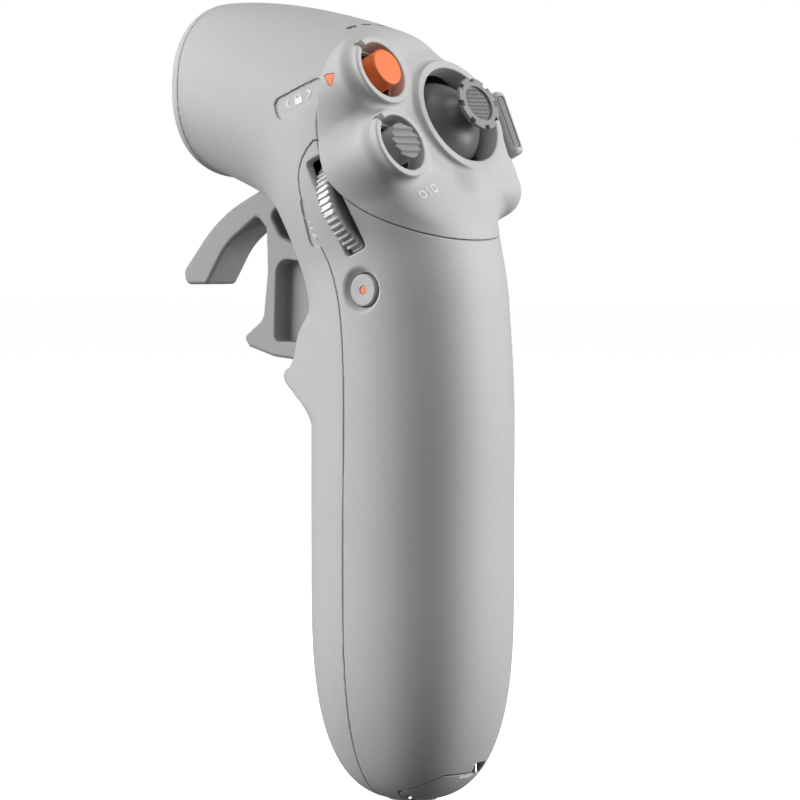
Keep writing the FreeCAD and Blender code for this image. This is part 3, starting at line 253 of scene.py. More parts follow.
def curve_through(points, share=6):
    """Dense points of a smooth open curve through side-view points."""
    points = np.asarray(points, float)
    spans = np.linalg.norm(np.diff(points, axis=0), axis=1)
    stops = np.concatenate([[0.0], np.cumsum(spans)])
    places = np.linspace(0, stops[-1], share * len(points))
    return np.stack([natural_spline(stops, points[:, i], places) for i in range(2)], 1)


def natural_spline(knots, values, places):
    """Natural cubic spline through (knots, values), read at places."""
    knots, values = np.asarray(knots, float), np.asarray(values, float)
    gaps = np.diff(knots)
    count = len(knots)
    system, right = np.eye(count), np.zeros(count)
    for i in range(1, count - 1):
        system[i, i - 1:i + 2] = gaps[i - 1], 2 * (gaps[i - 1] + gaps[i]), gaps[i]
        right[i] = 6 * ((values[i + 1] - values[i]) / gaps[i] - (values[i] - values[i - 1]) / gaps[i - 1])
    bend = np.linalg.solve(system, right)
    i = np.clip(np.searchsorted(knots, places) - 1, 0, count - 2)
    gap, left, rest = gaps[i], places - knots[i], knots[i + 1] - places
    cubic = (bend[i] * rest ** 3 + bend[i + 1] * left ** 3) / (6 * gap)
    line = ((values[i] / gap - bend[i] * gap / 6) * rest
            + (values[i + 1] / gap - bend[i + 1] * gap / 6) * left)
    return cubic + line


def rounded(corners, facets=10):
    """Dense outline of (u, v, corner radius) points."""
    corners = np.asarray(corners, float)
    outline = []
    for index, (u, v, radius) in enumerate(corners):
        here = np.array([u, v])
        back = corners[index - 1, :2] - here
        ahead = corners[(index + 1) % len(corners), :2] - here
        back, ahead = back / np.linalg.norm(back), ahead / np.linalg.norm(ahead)
        half = math.acos(np.clip(back @ ahead, -1, 1)) / 2
        middle = here + (back + ahead) / np.linalg.norm(back + ahead) * radius / math.sin(half)
        start = here + back * radius / math.tan(half) - middle
        end = here + ahead * radius / math.tan(half) - middle
        for share in np.linspace(0, 1, facets):
            spoke = start * (1 - share) + end * share
            outline.append(middle + spoke / np.linalg.norm(spoke) * radius)
    return np.array(outline)


class Outline:
    """Signed distance to a closed side-view outline, read from a table."""

    def __init__(self, points, pitch=0.15, margin=5.0):
        self.pitch = pitch
        self.low = points.min(0) - margin
        counts = np.ceil((points.max(0) + margin - self.low) / pitch).astype(int) + 1
        u, v = [self.low[i] + np.arange(counts[i]) * pitch for i in range(2)]
        spots = np.stack(np.meshgrid(u, v, indexing="ij"), -1).reshape(-1, 2)
        starts, ends = points, np.roll(points, -1, 0)

        def distance(block):
            best, inside = np.full(len(block), 1e9), np.zeros(len(block), bool)
            for a, b in zip(starts, ends):
                along = b - a
                share = np.clip((block - a) @ along / max(along @ along, 1e-12), 0, 1)
                best = np.minimum(best, ((block - a - share[:, None] * along) ** 2).sum(1))
                if a[1] != b[1]:
                    crosses = (a[1] > block[:, 1]) != (b[1] > block[:, 1])
                    edge = a[0] + (block[:, 1] - a[1]) * along[0] / along[1]
                    inside ^= crosses & (block[:, 0] < edge)
            return np.sqrt(best) * np.where(inside, -1, 1)

        with ThreadPoolExecutor(THREADS) as pool:
            parts = pool.map(distance, np.array_split(spots, THREADS * 4))
        self.table = np.concatenate(list(parts)).reshape(counts)

    def __call__(self, u, v):
        cell, share, beyond = [], [], 0.0
        for axis, value in enumerate((u, v)):
            place = (value - self.low[axis]) / self.pitch
            last = self.table.shape[axis] - 1.001
            kept = np.clip(place, 0, last)
            beyond = np.hypot(beyond, (place - kept) * self.pitch)
            cell.append(kept.astype(int))
            share.append(kept - cell[-1])
        i, j = cell
        s, t = share
        low = self.table[i, j] * (1 - s) + self.table[i + 1, j] * s
        high = self.table[i, j + 1] * (1 - s) + self.table[i + 1, j + 1] * s
        return low * (1 - t) + high * t + beyond


# ---------------------------------------------------------------- driving values, as in the CAD

FAR = 30.0                         # fields are cut off at this distance
GRIP_HALF_WIDTH, GRIP_HALF_DEPTH = 18.5, 20.8
DOME_HEIGHT = 46.0                 # the grip narrows below this height
WALL = 2.2
PIVOT_FORWARD, PIVOT_HEIGHT = 45.0, 100.0
NOSE_END, END_PLATE, NOSE_EDGE = 49.2, 46.2, 2.6
FOOT_PLANE, FOOT_EDGE = 0.0, 0.4
OVAL_POWER = 2.3
# angle about the pivot line: reach of the near side, of the far side and of each flank
HEAD_OVALS = {
    8: (23.6, 63.9, 18.6), 16: (23.4, 63.7, 19.0), 24: (23.6, 65.2, 20.2), 32: (24.1, 66.8, 21.2),
    40: (24.6, 69.0, 21.7), 48: (25.2, 71.2, 21.7), 56: (25.6, 69.3, 21.4), 66: (25.7, 66.4, 21.2),
    78: (26.2, 64.7, 21.0), 90: (27.6, 64.3, 20.7),
}

# seams and the tusk in side view: forward, height
PANEL_SEAM = ((6.2, 175.0), (6.2, 158.0), (6.5, 149.5), (7.4, 141.0), (6.6, 133.0), (4.2, 127.0),
              (0.6, 122.8), (-4.8, 119.3), (-9.8, 117.0), (-18.0, 114.0), (-30.0, 110.5))
SHELL_SEAM = ((8.0, 134.5), (10.6, 131.5), (12.1, 127.5), (11.4, 121.5), (8.8, 114.5), (5.8, 108.0),
              (4.0, 101.0), (3.0, 90.0), (3.0, 60.0), (3.0, 30.0), (3.0, -5.0))
LIP = ((12.0, 78.0), (20.5, 81.0), (25.0, 83.5), (30.5, 85.6), (31.5, 86.6), (30.3, 87.6),
       (26.0, 88.3), (23.0, 91.0), (21.5, 95.0), (12.0, 99.0))
LIP_HALF_WIDTH, LIP_REACH, LIP_EDGE, LIP_BLEND = 15.0, 31.5, 1.6, 3.0
SEAM_GAP = 0.09                    # half the gap between two shells
SEAM_EDGE = 0.16
PLATE_GAP, PLATE_STEP = 0.01, 0.03

# the thumb panel; spots are across and up from its middle
PANEL_TILT = math.radians(66.0)
PANEL_AT = np.array([0.0, -6.2, 140.2])
RISE, LEAN = math.cos(PANEL_TILT), math.sin(PANEL_TILT)
LOCK, MODE, STICK = (-12.0, 9.5), (-13.7, -6.7), (8.0, 0.0)
RINGS = ((LOCK, 7.5), (MODE, 7.5), (STICK, 12.3))
PADS = ((LOCK, 8.9), (MODE, 8.0), (STICK, 14.2))
RING_FLARE, RING_DEPTH, RING_EDGE, RING_BLEND = 0.3, 13.0, 0.4, 1.0
PAD_EDGE, PAD_BLEND = 2.4, 2.8
TUBE_DEPTH, STICK_TUBE_DEPTH = 6.0, 2.2    # the rings' walls reach this far inwards
PLATEAU, PLATEAU_EDGE = 1.9, 5.0   # how far the panel lies below the rings' rims
PLATEAU_FOOT, PLATEAU_TOP, PLATEAU_BULGE = 12.0, 13.0, 0.09
SHOULDER_AT, SHOULDER_HALF, SHOULDER_EDGE = (13.0, -5.5, -8.6), (11.1, 14.5, 8.0), 5.5
STICK_HOLE, WELL_RADIUS = 10.5, 6.05
CUP_RADIUS, CUP_WALL, WELL_RIM, WELL_FLOOR, WELL_HOLE = 5.5, 0.6, 4.0, 9.0, 4.05
CUP_KEY_AT, CUP_KEY_HALF, CUP_KEY_TOP = 3.7, (1.4, 1.4), 5.2
NOTCH_TURN, NOTCH_DEPTH, NOTCH_HALF = math.radians(128.0), 1.6, (1.25, 0.85)
MARK_CORNERS = ((3.2, 148.0, 0.25), (6.0, 147.6, 0.25), (3.7, 144.9, 0.25))

# printed marks; labels: forward, height, turn of the long side, half sizes
LOCK_LABEL = (12.85, 143.0, math.radians(-24.0), (6.1, 2.2))
DIAL_LABEL = (9.95, 118.1, math.radians(83.0), (5.1, 1.8))
LABEL_DEPTH, LABEL_CORNER = 0.4, 1.4
LEFT_FLANK = -12.0                 # everything on the left flank lies beyond this
MODE_PRINT, MODE_PRINT_TURN = (-8.7, -16.7), math.radians(18.0)
PRINT_HEIGHT, PRINT_DEPTH = 0.11, 0.3

# controls
CAP_RADIUS, CAP_TOP, CAP_FOOT = 3.9, 1.3, 10.7
FLANGE_RADIUS, FLANGE_THICK = 4.9, 0.6
RIDGE_PITCH, RIDGE_DEPTH = 1.6, 0.7
STICK_PIVOT, DOME_RADIUS, DOME_WALL, DOME_DROP = 9.0, 10.2, 1.0, 4.4
STALK_RADIUS, STALK_BLEND, POST_RADIUS, HUB_RADIUS = 2.5, 2.6, 1.6, 2.2
GIMBAL_RADIUS, GIMBAL_HALF = 0.8, 4.8
KNOB_RADIUS, KNOB_TOP, KNOB_THICK, KNOB_TEETH = 5.8, 5.3, 2.3, 8
KNOB_NECK, TOOTH_GAP_HALF, TOOTH_ROOT, TOOTH_DEPTH = 3.9, 0.62, 4.9, 1.0
KNOB_DISH, KNOB_DISH_DEPTH, PYRAMID_PITCH, PYRAMID_HEIGHT = 3.85, 0.6, 0.86, 0.42
DIAL_AT = np.array([-11.4, 3.9, 121.3])
DIAL_RADIUS, DIAL_THICK, DIAL_RIM, DIAL_RIBS, DIAL_BORE = 11.5, 3.2, 1.6, 52, 1.15
RIB_DEPTH, RIM_CROWN, HUB_DISH = 0.5, 0.7, 0.35
DIAL_SLOT, DIAL_SLOT_SHIFT = (9.7 + 0.7, 2.0 + 0.5), 0.5   # the CAD's slot, a little larger
RECORD_AT, RECORD_FACE, RECORD_RADIUS = (-2.1, 104.4), -18.2, 3.3
RECORD_GAP, DISH_SLOPE, DISH_RISE = 0.25, 0.95, 0.9
RECORD_FLANGE, RECORD_PLUNGER, RECORD_FOOT, DOT_RADIUS = 4.1, 1.0, 14.7, 0.83
POWER_INNER, POWER_OUTER, POWER_HALF, POWER_HALF_DEPTH = 20.9, 24.3, 7.1, 4.8
POWER_UP, POWER_BACK, POWER_EDGE = -1.6, -4.0, 1.25
POCKET_INNER, POCKET_HALF = 20.0, (5.0, 7.35, 5.05)
LIGHT_FORWARD, LIGHT_PITCH, LIGHT_HALF, LIGHT_FLOOR = 10.5, 4.6, (1.5, 0.45), 152.0

# the trigger in side view: forward, height, corner radius
TRIGGER_HALF, TRIGGER_SLOT_HALF, TRIGGER_WEB_HALF = 4.7, 5.3, 1.4
TRIGGER_PIN = (32.0, 132.0, 1.55)
TRIGGER_CORNERS = (
    (28.0, 136.0, 2.6), (36.0, 136.0, 2.6), (36.6, 125.4, 2.5), (49.4, 119.6, 34.0),
    (59.5, 108.0, 1.8), (58.9, 105.1, 1.6), (52.8, 105.2, 1.3), (47.4, 113.4, 16.0),
    (38.6, 119.4, 1.0), (36.1, 117.0, 1.2), (35.8, 108.0, 8.0), (37.0, 98.0, 3.0),
    (42.4, 94.2, 0.9), (41.0, 92.2, 0.9), (34.0, 90.2, 6.0), (21.5, 89.0, 1.5),
    (21.5, 111.4, 1.5), (31.8, 115.2, 2.5), (34.6, 119.6, 1.5), (28.0, 126.0, 2.0),
)
POCKET_CORNERS = ((33.6, 93.4, 1.4), (33.0, 110.8, 3.0), (23.6, 109.6, 1.5), (23.6, 93.4, 1.4))
SLOT_CORNERS = (
    (14.0, 88.4, 0.6), (34.0, 88.4, 0.6), (34.0, 112.0, 1.0), (42.5, 122.0, 2.0),
    (42.5, 131.0, 1.0), (24.0, 131.0, 1.0), (14.0, 112.0, 2.0),
)

# the socket cover and the lanyard opening beside it
COVER_HALF, COVER_TOP, COVER_FRONT, COVER_GAP = 8.8, 6.1, -3.2, 0.2
COVER_HINGE, COVER_BARREL, COVER_BORE = (-4.4, 1.35), 1.15, 0.55
COVER_SHOULDER, COVER_DROP = 5.6, 0.55
LANYARD_SIDE, LANYARD_HEIGHT, LANYARD_HALF = 3.8, 7.4, (2.2, 0.9)
LANYARD_BACK, LANYARD_POST, LANYARD_POST_HALF = -13.1, 0.6, 1.3


def panel_frame(x, y, z, origin=PANEL_AT):
    """Coordinates across, up and out of the thumb panel."""
    forward, up = y - origin[1], z - origin[2]
    return x - origin[0], forward * RISE + up * LEAN, up * RISE - forward * LEAN


# ---------------------------------------------------------------- the body form

ARC = 0.785                        # station length of a degree of the head's fan
STATIONS = np.arange(-8.0, PIVOT_HEIGHT + 90 * ARC, 0.05)


def station_tables():
    """Middle, half reach and half width of the oval at each station, with their slopes."""
    near, far = PIVOT_FORWARD - GRIP_HALF_DEPTH, PIVOT_FORWARD + GRIP_HALF_DEPTH
    knots = [28.0, 46.0, 64.0, 82.0] + [PIVOT_HEIGHT + angle * ARC for angle in HEAD_OVALS]
    rows = [(near, far, GRIP_HALF_WIDTH)] * 4 + list(HEAD_OVALS.values())
    rows = [natural_spline(knots, [row[i] for row in rows], np.maximum(STATIONS, 40.0)) for i in range(3)]
    rise = np.clip(np.maximum(STATIONS, 0.35) / DOME_HEIGHT, 0, 1)
    share = (1 - (1 - rise) ** 3) ** 0.37
    tables = [(rows[0] + rows[1]) / 2, (rows[1] - rows[0]) / 2 * share, rows[2] * share]
    return [(table, np.gradient(table, STATIONS)) for table in tables]


TABLES = station_tables()


def oval_distance(across, along, half_across, half_along):
    """Scaled coordinates in an oval, the oval size that passes there, and that size's slopes."""
    a, b = np.abs(across) / half_across, np.abs(along) / half_along
    size = np.maximum((a ** OVAL_POWER + b ** OVAL_POWER) ** (1 / OVAL_POWER), 1e-3)
    scale = size ** (1 - OVAL_POWER)
    return a, b, size, a ** (OVAL_POWER - 1) * scale, b ** (OVAL_POWER - 1) * scale


def body(x, y, z):
    """The whole body: a column of ovals that bends into a fan of ovals and ends in the nose."""
    forward, up = PIVOT_FORWARD - y, z - PIVOT_HEIGHT
    grip, nose = up < 0, (up >= 0) & (forward < 0)
    reach = np.where(grip, forward, np.where(nose, up, np.hypot(forward, up)))
    angle = np.degrees(np.arctan2(up, forward))
    station = np.where(grip, z, np.where(nose, STATIONS[-1], PIVOT_HEIGHT + ARC * angle))
    rate = np.where(grip, 1.0, np.where(nose, 0.0, np.degrees(ARC) / np.maximum(reach, 5.0)))
    place = np.clip((station - STATIONS[0]) / (STATIONS[1] - STATIONS[0]), 0, len(STATIONS) - 1.001)
    cell = place.astype(int)
    share = place - cell
    (middle, d_middle), (half, d_half), (width, d_width) = [
        [column[cell] * (1 - share) + column[cell + 1] * share for column in table] for table in TABLES]
    off = reach - middle
    a, b, size, pull_a, pull_b = oval_distance(x, off, width, half)
    drift = -(pull_a * a * d_width / width + pull_b * (b * d_half + np.sign(off) * d_middle) / half) * rate
    side = (size - 1) / np.sqrt((pull_a / width) ** 2 + (pull_b / half) ** 2 + drift ** 2 + 1e-6)
    side = np.clip(side, -FAR, FAR)
    return meet(meet(side, y - NOSE_END, NOSE_EDGE), FOOT_PLANE - z, FOOT_EDGE)


def lip(x, y, z):
    """The tusk under the trigger."""
    a, b, size, pull_a, pull_b = oval_distance(x, y, LIP_HALF_WIDTH, LIP_REACH)
    column = (size - 1) / np.hypot(pull_a / LIP_HALF_WIDTH, pull_b / LIP_REACH)
    return meet(LIP_PROFILE(y, z), np.clip(column, -FAR, FAR), LIP_EDGE)


def grip_form(x, y, z):
    """Body and lip, before any seam or opening."""
    return join(body(x, y, z), lip(x, y, z), LIP_BLEND)


def close_loop(seam, *rest):
    """A seam curve closed by straight runs."""
    return np.concatenate([curve_through(seam), np.array(rest, float)])


LIP_PROFILE = Outline(curve_through(LIP, 12), 0.12)
PANEL_SIDE = Outline(close_loop(PANEL_SEAM, (-45.0, 110.0), (-45.0, 175.0)), 0.12)
REAR_SIDE = Outline(close_loop(SHELL_SEAM, (-45.0, -8.0), (-45.0, 134.5)), 0.15)
SLOT_PROFILE = Outline(rounded(SLOT_CORNERS), 0.15)
TRIGGER = Outline(rounded(TRIGGER_CORNERS), 0.1, 3.0)
TRIGGER_POCKET = Outline(rounded(POCKET_CORNERS), 0.1, 3.0)
MARK = Outline(rounded(MARK_CORNERS, 5), 0.05, 2.0)


# ---------------------------------------------------------------- moulded shells


def ring(x, t, h, spot, radius):
    """One raised ring of the thumb panel, its rim in the panel plane."""
    flare = RING_FLARE * np.clip(-h / RING_DEPTH, 0, 1) ** 1.5
    return meet(np.hypot(x - spot[0], t - spot[1]) - radius - flare, h, RING_EDGE)


def notch(x, t, spot, turn, radius):
    """Short slot through a ring's rim, at an angle about the ring."""
    across, up = x - spot[0], t - spot[1]
    out = across * math.cos(turn) + up * math.sin(turn)
    aside = -across * math.sin(turn) + up * math.cos(turn)
    return flat_box(out - radius, aside, NOTCH_HALF, 0.3)


def panel_base(x, y, z):
    """The body, flattened where the rings stand on it."""
    across, t, h = panel_frame(x, y, z)
    level = h + PLATEAU
    level = level - PLATEAU_BULGE * np.maximum(-PLATEAU_FOOT - t, 0) ** 1.6
    level = level - PLATEAU_BULGE * np.maximum(t - PLATEAU_TOP, 0) ** 1.6
    return meet(body(x, y, z), level, PLATEAU_EDGE)


def panel_skin(x, y, z):
    """Outer surface of the thumb panel with its rings."""
    across, t, h = panel_frame(x, y, z)
    form = panel_base(x, y, z)
    pads = [meet(np.hypot(across - spot[0], t - spot[1]) - radius, h + PLATEAU, PAD_EDGE)
            for spot, radius in PADS]
    shoulder = [c - at for c, at in zip((across, t, h), SHOULDER_AT)]
    pads.append(round_box(*shoulder, SHOULDER_HALF, SHOULDER_EDGE))
    for pad in pads:
        form = join(form, pad, PAD_BLEND)
    for spot, radius in RINGS:
        form = join(form, ring(across, t, h, spot, radius), RING_BLEND)
    return form


def thumb_panel(x, y, z):
    """Panel shell with its stick hole, button wells, power pocket and pointer hole."""
    across, t, h = panel_frame(x, y, z)
    form = meet(panel_skin(x, y, z), PANEL_SIDE(y, z) + SEAM_GAP, SEAM_EDGE)
    inner = panel_base(x, y, z) + WALL
    for spot, radius in RINGS:
        depth = STICK_TUBE_DEPTH if spot is STICK else TUBE_DEPTH
        tube = np.maximum(np.hypot(across - spot[0], t - spot[1]) - radius + 0.1, -depth - h)
        inner = np.maximum(inner, -tube)
    form = carve(form, inner, 0.2)
    form = carve(form, np.hypot(across - STICK[0], t - STICK[1]) - STICK_HOLE, 0.35)
    for spot in (LOCK, MODE):
        reach = np.hypot(across - spot[0], t - spot[1])
        form = carve(form, meet(reach - WELL_RADIUS, -WELL_RIM - h, 0.1), 0.3)
        form = np.maximum(form, CUP_RADIUS - reach)
        cut = meet(notch(across, t, spot, NOTCH_TURN, WELL_RADIUS + 0.2), -NOTCH_DEPTH - h, 0.1)
        form = carve(form, cut, 0.15)
    outward = across - POCKET_INNER - POCKET_HALF[0]
    pocket = round_box(outward, t - POWER_UP, h - POWER_BACK, POCKET_HALF, 0.9)
    form = carve(form, pocket, 0.3)
    return np.maximum(form, -mark_prism(x, y, z, 0.0))


def mark_prism(x, y, z, grow):
    """Triangle let into the panel's left flank beside the lock button."""
    return np.maximum(MARK(y, z) - grow, x + 15.0)


def pointer_mark(x, y, z):
    """Orange triangle that fills its hole just below the panel's skin."""
    skin = meet(panel_skin(x, y, z) + 0.05, mark_prism(x, y, z, -0.04), 0.08)
    return np.maximum(skin, -(body(x, y, z) + 0.8))


def label_frame(y, z, spot):
    """Place along and across a printed label of the left flank."""
    forward, height, turn = spot[:3]
    along = (y - forward) * math.cos(turn) + (z - height) * math.sin(turn)
    return along, (z - height) * math.cos(turn) - (y - forward) * math.sin(turn)


def label_recess(x, y, z, spot):
    """Shallow recess for a printed mark on the left flank."""
    along, up = label_frame(y, z, spot)
    deep = np.maximum(-LABEL_DEPTH - body(x, y, z), x - LEFT_FLANK)
    return np.maximum(flat_box(along, up, spot[3], LABEL_CORNER), deep)


def stroke(u, v, points, half):
    """Line of a drawn mark through the given points."""
    reach = np.full(np.broadcast(u, v).shape, 1e3)
    for (u0, v0), (u1, v1) in zip(points, points[1:]):
        du, dv = u1 - u0, v1 - v0
        share = np.clip(((u - u0) * du + (v - v0) * dv) / (du * du + dv * dv), 0, 1)
        reach = np.minimum(reach, np.hypot(u - u0 - share * du, v - v0 - share * dv))
    return reach - half


def padlock(u, v):
    """Mark of a closed padlock, about 2.4 mm high."""
    shackle = np.maximum(np.abs(np.hypot(u, v - 0.25) - 0.62) - 0.14, 0.2 - v)
    return np.minimum(flat_box(u, v + 0.42, (0.95, 0.68), 0.15), shackle)


def lock_marks(u, v):
    """Padlock between two chevrons."""
    chevrons = [stroke(u, v, ((side * 2.4, -0.8), (side * 3.2, 0.0), (side * 2.4, 0.8)), 0.16)
                for side in (-1, 1)]
    return np.minimum(padlock(u, v), np.minimum(*chevrons))


def dial_marks(u, v):
    """Two arrows along the dial with three bars between them."""
    marks = [stroke(u, v, ((bar, -0.75), (bar, 0.75)), 0.16) for bar in (-1.2, 0.0, 1.2)]
    for side in (-1, 1):
        arrow = ((side * 2.6, -0.5), (side * 3.3, 0.0), (side * 2.6, 0.5), (side * 2.6, -0.5))
        marks.append(stroke(u, v, arrow, 0.16))
    return np.minimum.reduce(marks)


def mode_marks(u, v):
    """Circle and square with a bar between them."""
    circle = np.abs(np.hypot(u + 1.9, v) - 0.75) - 0.14
    square = np.abs(flat_box(u - 1.9, v, (0.72, 0.72), 0.1)) - 0.14
    return np.minimum(np.minimum(circle, square), stroke(u, v, ((0.0, -1.1), (0.0, 1.1)), 0.13))


def inlay(skin, mark):
    """Print on a skin: a thin layer that stands just proud of it."""
    return np.maximum(np.maximum(mark, skin - PRINT_HEIGHT), -PRINT_DEPTH - skin)


def label_print(spot, marks, facing):
    """Marks printed on the floor of a label's recess."""
    def field(x, y, z):
        floor = np.maximum(body(x, y, z) + LABEL_DEPTH, x - LEFT_FLANK)
        along, up = label_frame(y, z, spot)
        return inlay(floor, marks(facing * along, up))
    return field


def mode_print(x, y, z):
    """Marks printed on the panel below the mode button."""
    across, t, h = panel_frame(x, y, z)
    along, up = across - MODE_PRINT[0], t - MODE_PRINT[1]
    cosine, sine = math.cos(MODE_PRINT_TURN), math.sin(MODE_PRINT_TURN)
    mark = mode_marks(along * cosine + up * sine, up * cosine - along * sine)
    return np.maximum(inlay(panel_skin(x, y, z), mark), -8.0 - h)


def front_shell(x, y, z):
    """Barrel and front half of the grip, open for the trigger."""
    form = grip_form(x, y, z)
    inner = body(x, y, z) + WALL
    outside = np.minimum(PANEL_SIDE(y, z), REAR_SIDE(y, z)) - SEAM_GAP
    form = meet(form, -outside, SEAM_EDGE)
    form = np.maximum(form, y - END_PLATE + PLATE_GAP)
    form = carve(form, inner, 0.2)
    form = carve(form, meet(np.abs(x) - TRIGGER_SLOT_HALF, SLOT_PROFILE(y, z), 0.5), 0.35)
    form = carve(form, cover_room(x, y, z, COVER_GAP), 0.2)
    for spot in (LOCK_LABEL, DIAL_LABEL):
        form = carve(form, label_recess(x, y, z, spot), 0.15)
    return np.maximum(form, -light_bars(x, y, z, 0.04))


def light_bars(x, y, z, grow):
    """The four status windows across the top."""
    slot = np.abs(np.abs(x) - LIGHT_PITCH) - LIGHT_PITCH / 2
    bar = flat_box(slot, y - LIGHT_FORWARD, (LIGHT_HALF[0] + grow, LIGHT_HALF[1] + grow), 0.4)
    return np.maximum(bar, LIGHT_FLOOR - z)


def status_lights(x, y, z):
    """Clear bars that fill the status windows."""
    skin = body(x, y, z)
    return np.maximum(meet(skin + 0.04, light_bars(x, y, z, -0.02), 0.08), -(skin + 1.8))


def cover_room(x, y, z, gap):
    """The block of the foot that the socket cover fills, its outline widening towards the hinge."""
    top = COVER_TOP - COVER_DROP * np.maximum(np.abs(x) - COVER_SHOULDER, 0) ** 1.3
    block = np.maximum(z - top - gap, y - COVER_FRONT - gap)
    return meet(block, np.abs(x) - COVER_HALF - gap, 1.5)


def rear_shell(x, y, z):
    """Back half of the grip, with the dial's slot and the record key's dish."""
    form = grip_form(x, y, z)
    inner = body(x, y, z) + WALL
    form = meet(form, REAR_SIDE(y, z) + SEAM_GAP, SEAM_EDGE)
    form = meet(form, SEAM_GAP - PANEL_SIDE(y, z), SEAM_EDGE)
    form = carve(form, inner, 0.2)
    across, t, h = panel_frame(x, y, z, DIAL_AT)
    slot = np.maximum(flat_box(t, h - DIAL_SLOT_SHIFT, DIAL_SLOT, 0.9), across + 2.5)
    form = carve(form, slot, 0.4)
    around = np.hypot(y - RECORD_AT[0], z - RECORD_AT[1])
    mouth = DISH_SLOPE * np.maximum(-x + RECORD_FACE + DISH_RISE, 0)
    dish = (around - RECORD_RADIUS - RECORD_GAP - mouth) * 0.72
    form = carve(form, np.maximum(dish, x - LEFT_FLANK), 0.35)
    form = carve(form, cover_room(x, y, z, COVER_GAP), 0.2)
    hole = np.maximum(flat_box(x - LANYARD_SIDE, z - LANYARD_HEIGHT, LANYARD_HALF, 0.6), y + 10.5)
    return carve(form, hole, 0.2)


def front_cap(x, y, z):
    """Plate that closes the barrel's end."""
    form = np.maximum(body(x, y, z) + PLATE_STEP, END_PLATE + PLATE_GAP - y)
    return np.maximum(form, -(body(x, y, z) + WALL))


def usb_cover(x, y, z):
    """Flap over the socket, its hinge barrel along the front edge."""
    around = np.hypot(y - COVER_HINGE[0], z - COVER_HINGE[1])
    block = np.maximum(cover_room(x, y, z, 0.0), y - COVER_HINGE[0])
    barrel = np.maximum(around - COVER_BARREL, np.abs(x) - COVER_HALF + 0.3)
    form = meet(body(x, y, z), np.minimum(block, barrel), 0.2)
    form = np.maximum(form, -np.maximum(body(x, y, z) + WALL, COVER_BARREL - around))
    lift = meet(np.abs(x - 1.0) - 2.3, np.maximum(z - 6.4, 5.4 - z), 0.2)
    form = carve(form, np.maximum(lift, y + 13.4), 0.15)
    return np.maximum(form, COVER_BORE - around)


def lanyard_post(x, y, z):
    """Steel post across the lanyard opening."""
    reach = np.hypot(x - LANYARD_SIDE, y - LANYARD_BACK)
    return disc(reach, z, LANYARD_POST, LANYARD_HEIGHT + LANYARD_POST_HALF,
                LANYARD_HEIGHT - LANYARD_POST_HALF, 0.05)


# ---------------------------------------------------------------- controls


def well(spot):
    """Dark cup under a ring: ledge, wall and floor round the button."""
    def field(x, y, z):
        across, t, h = panel_frame(x, y, z)
        reach = np.hypot(across - spot[0], t - spot[1])
        cup = disc(reach, h, CUP_RADIUS - 0.03, -WELL_RIM, -WELL_FLOOR - 1.0, 0.1)
        room = np.maximum(reach - CUP_RADIUS + CUP_WALL, -WELL_FLOOR - h)
        cup = carve(cup, room, 0.15)
        key = flat_box(across - spot[0] - CUP_KEY_AT, t - spot[1] - CUP_KEY_AT, CUP_KEY_HALF, 0.3)
        key = np.maximum(np.maximum(key, h + CUP_KEY_TOP), -WELL_FLOOR - h)
        cup = np.minimum(cup, np.maximum(key, reach - CUP_RADIUS + 0.3))
        return np.maximum(cup, WELL_HOLE - reach)
    return field


def flange(reach, h):
    """Wider foot that keeps a button in its well."""
    return disc(reach, h, FLANGE_RADIUS, -CAP_FOOT + FLANGE_THICK, -CAP_FOOT, 0.1)


def lock_button(x, y, z):
    """Round button with a very slightly dished face."""
    across, t, h = panel_frame(x, y, z)
    reach = np.hypot(across - LOCK[0], t - LOCK[1])
    crown = 0.0035 * np.maximum(3.2 - reach, 0) ** 2
    cap = disc(reach, h + crown, CAP_RADIUS, CAP_TOP, -CAP_FOOT, 0.4)
    return np.minimum(cap, flange(reach, h))


def mode_button(x, y, z):
    """Round button with saw-tooth ridges across its face."""
    across, t, h = panel_frame(x, y, z)
    reach = np.hypot(across - MODE[0], t - MODE[1])
    phase = np.mod(t - MODE[1] + 2.5 * RIDGE_PITCH, RIDGE_PITCH) / RIDGE_PITCH
    saw = np.minimum(phase / 0.8, (1 - phase) / 0.2)
    top = (h - CAP_TOP + RIDGE_DEPTH * saw) * 0.8
    cap = meet(meet(reach - CAP_RADIUS, top, 0.2), -CAP_FOOT - h, 0.2)
    return np.minimum(cap, flange(reach, h))


def joystick_dome(x, y, z):
    """Hollow dome and stalk, with the post, hub and cross pin inside."""
    across, t, h = panel_frame(x, y, z)
    across, t, rise = across - STICK[0], t - STICK[1], h + STICK_PIVOT
    reach = np.hypot(across, t)
    ball = np.hypot(reach, rise) - DOME_RADIUS
    stalk = meet(reach - STALK_RADIUS, rise - STICK_PIVOT - KNOB_TOP + KNOB_THICK, 0.1)
    stalk = np.maximum(stalk, DOME_RADIUS - 2 - rise)
    form = join(ball, stalk, STALK_BLEND)
    form = np.maximum(form, -(ball + DOME_WALL))
    form = meet(form, STICK_PIVOT - DOME_DROP - rise, 0.3)
    post = np.maximum(np.maximum(reach - POST_RADIUS, -rise), rise - DOME_RADIUS)
    hub = np.hypot(reach, rise) - HUB_RADIUS
    cross = np.maximum(np.hypot(across, rise) - GIMBAL_RADIUS, np.abs(t) - GIMBAL_HALF)
    return np.minimum(np.minimum(np.minimum(form, post), hub), cross)


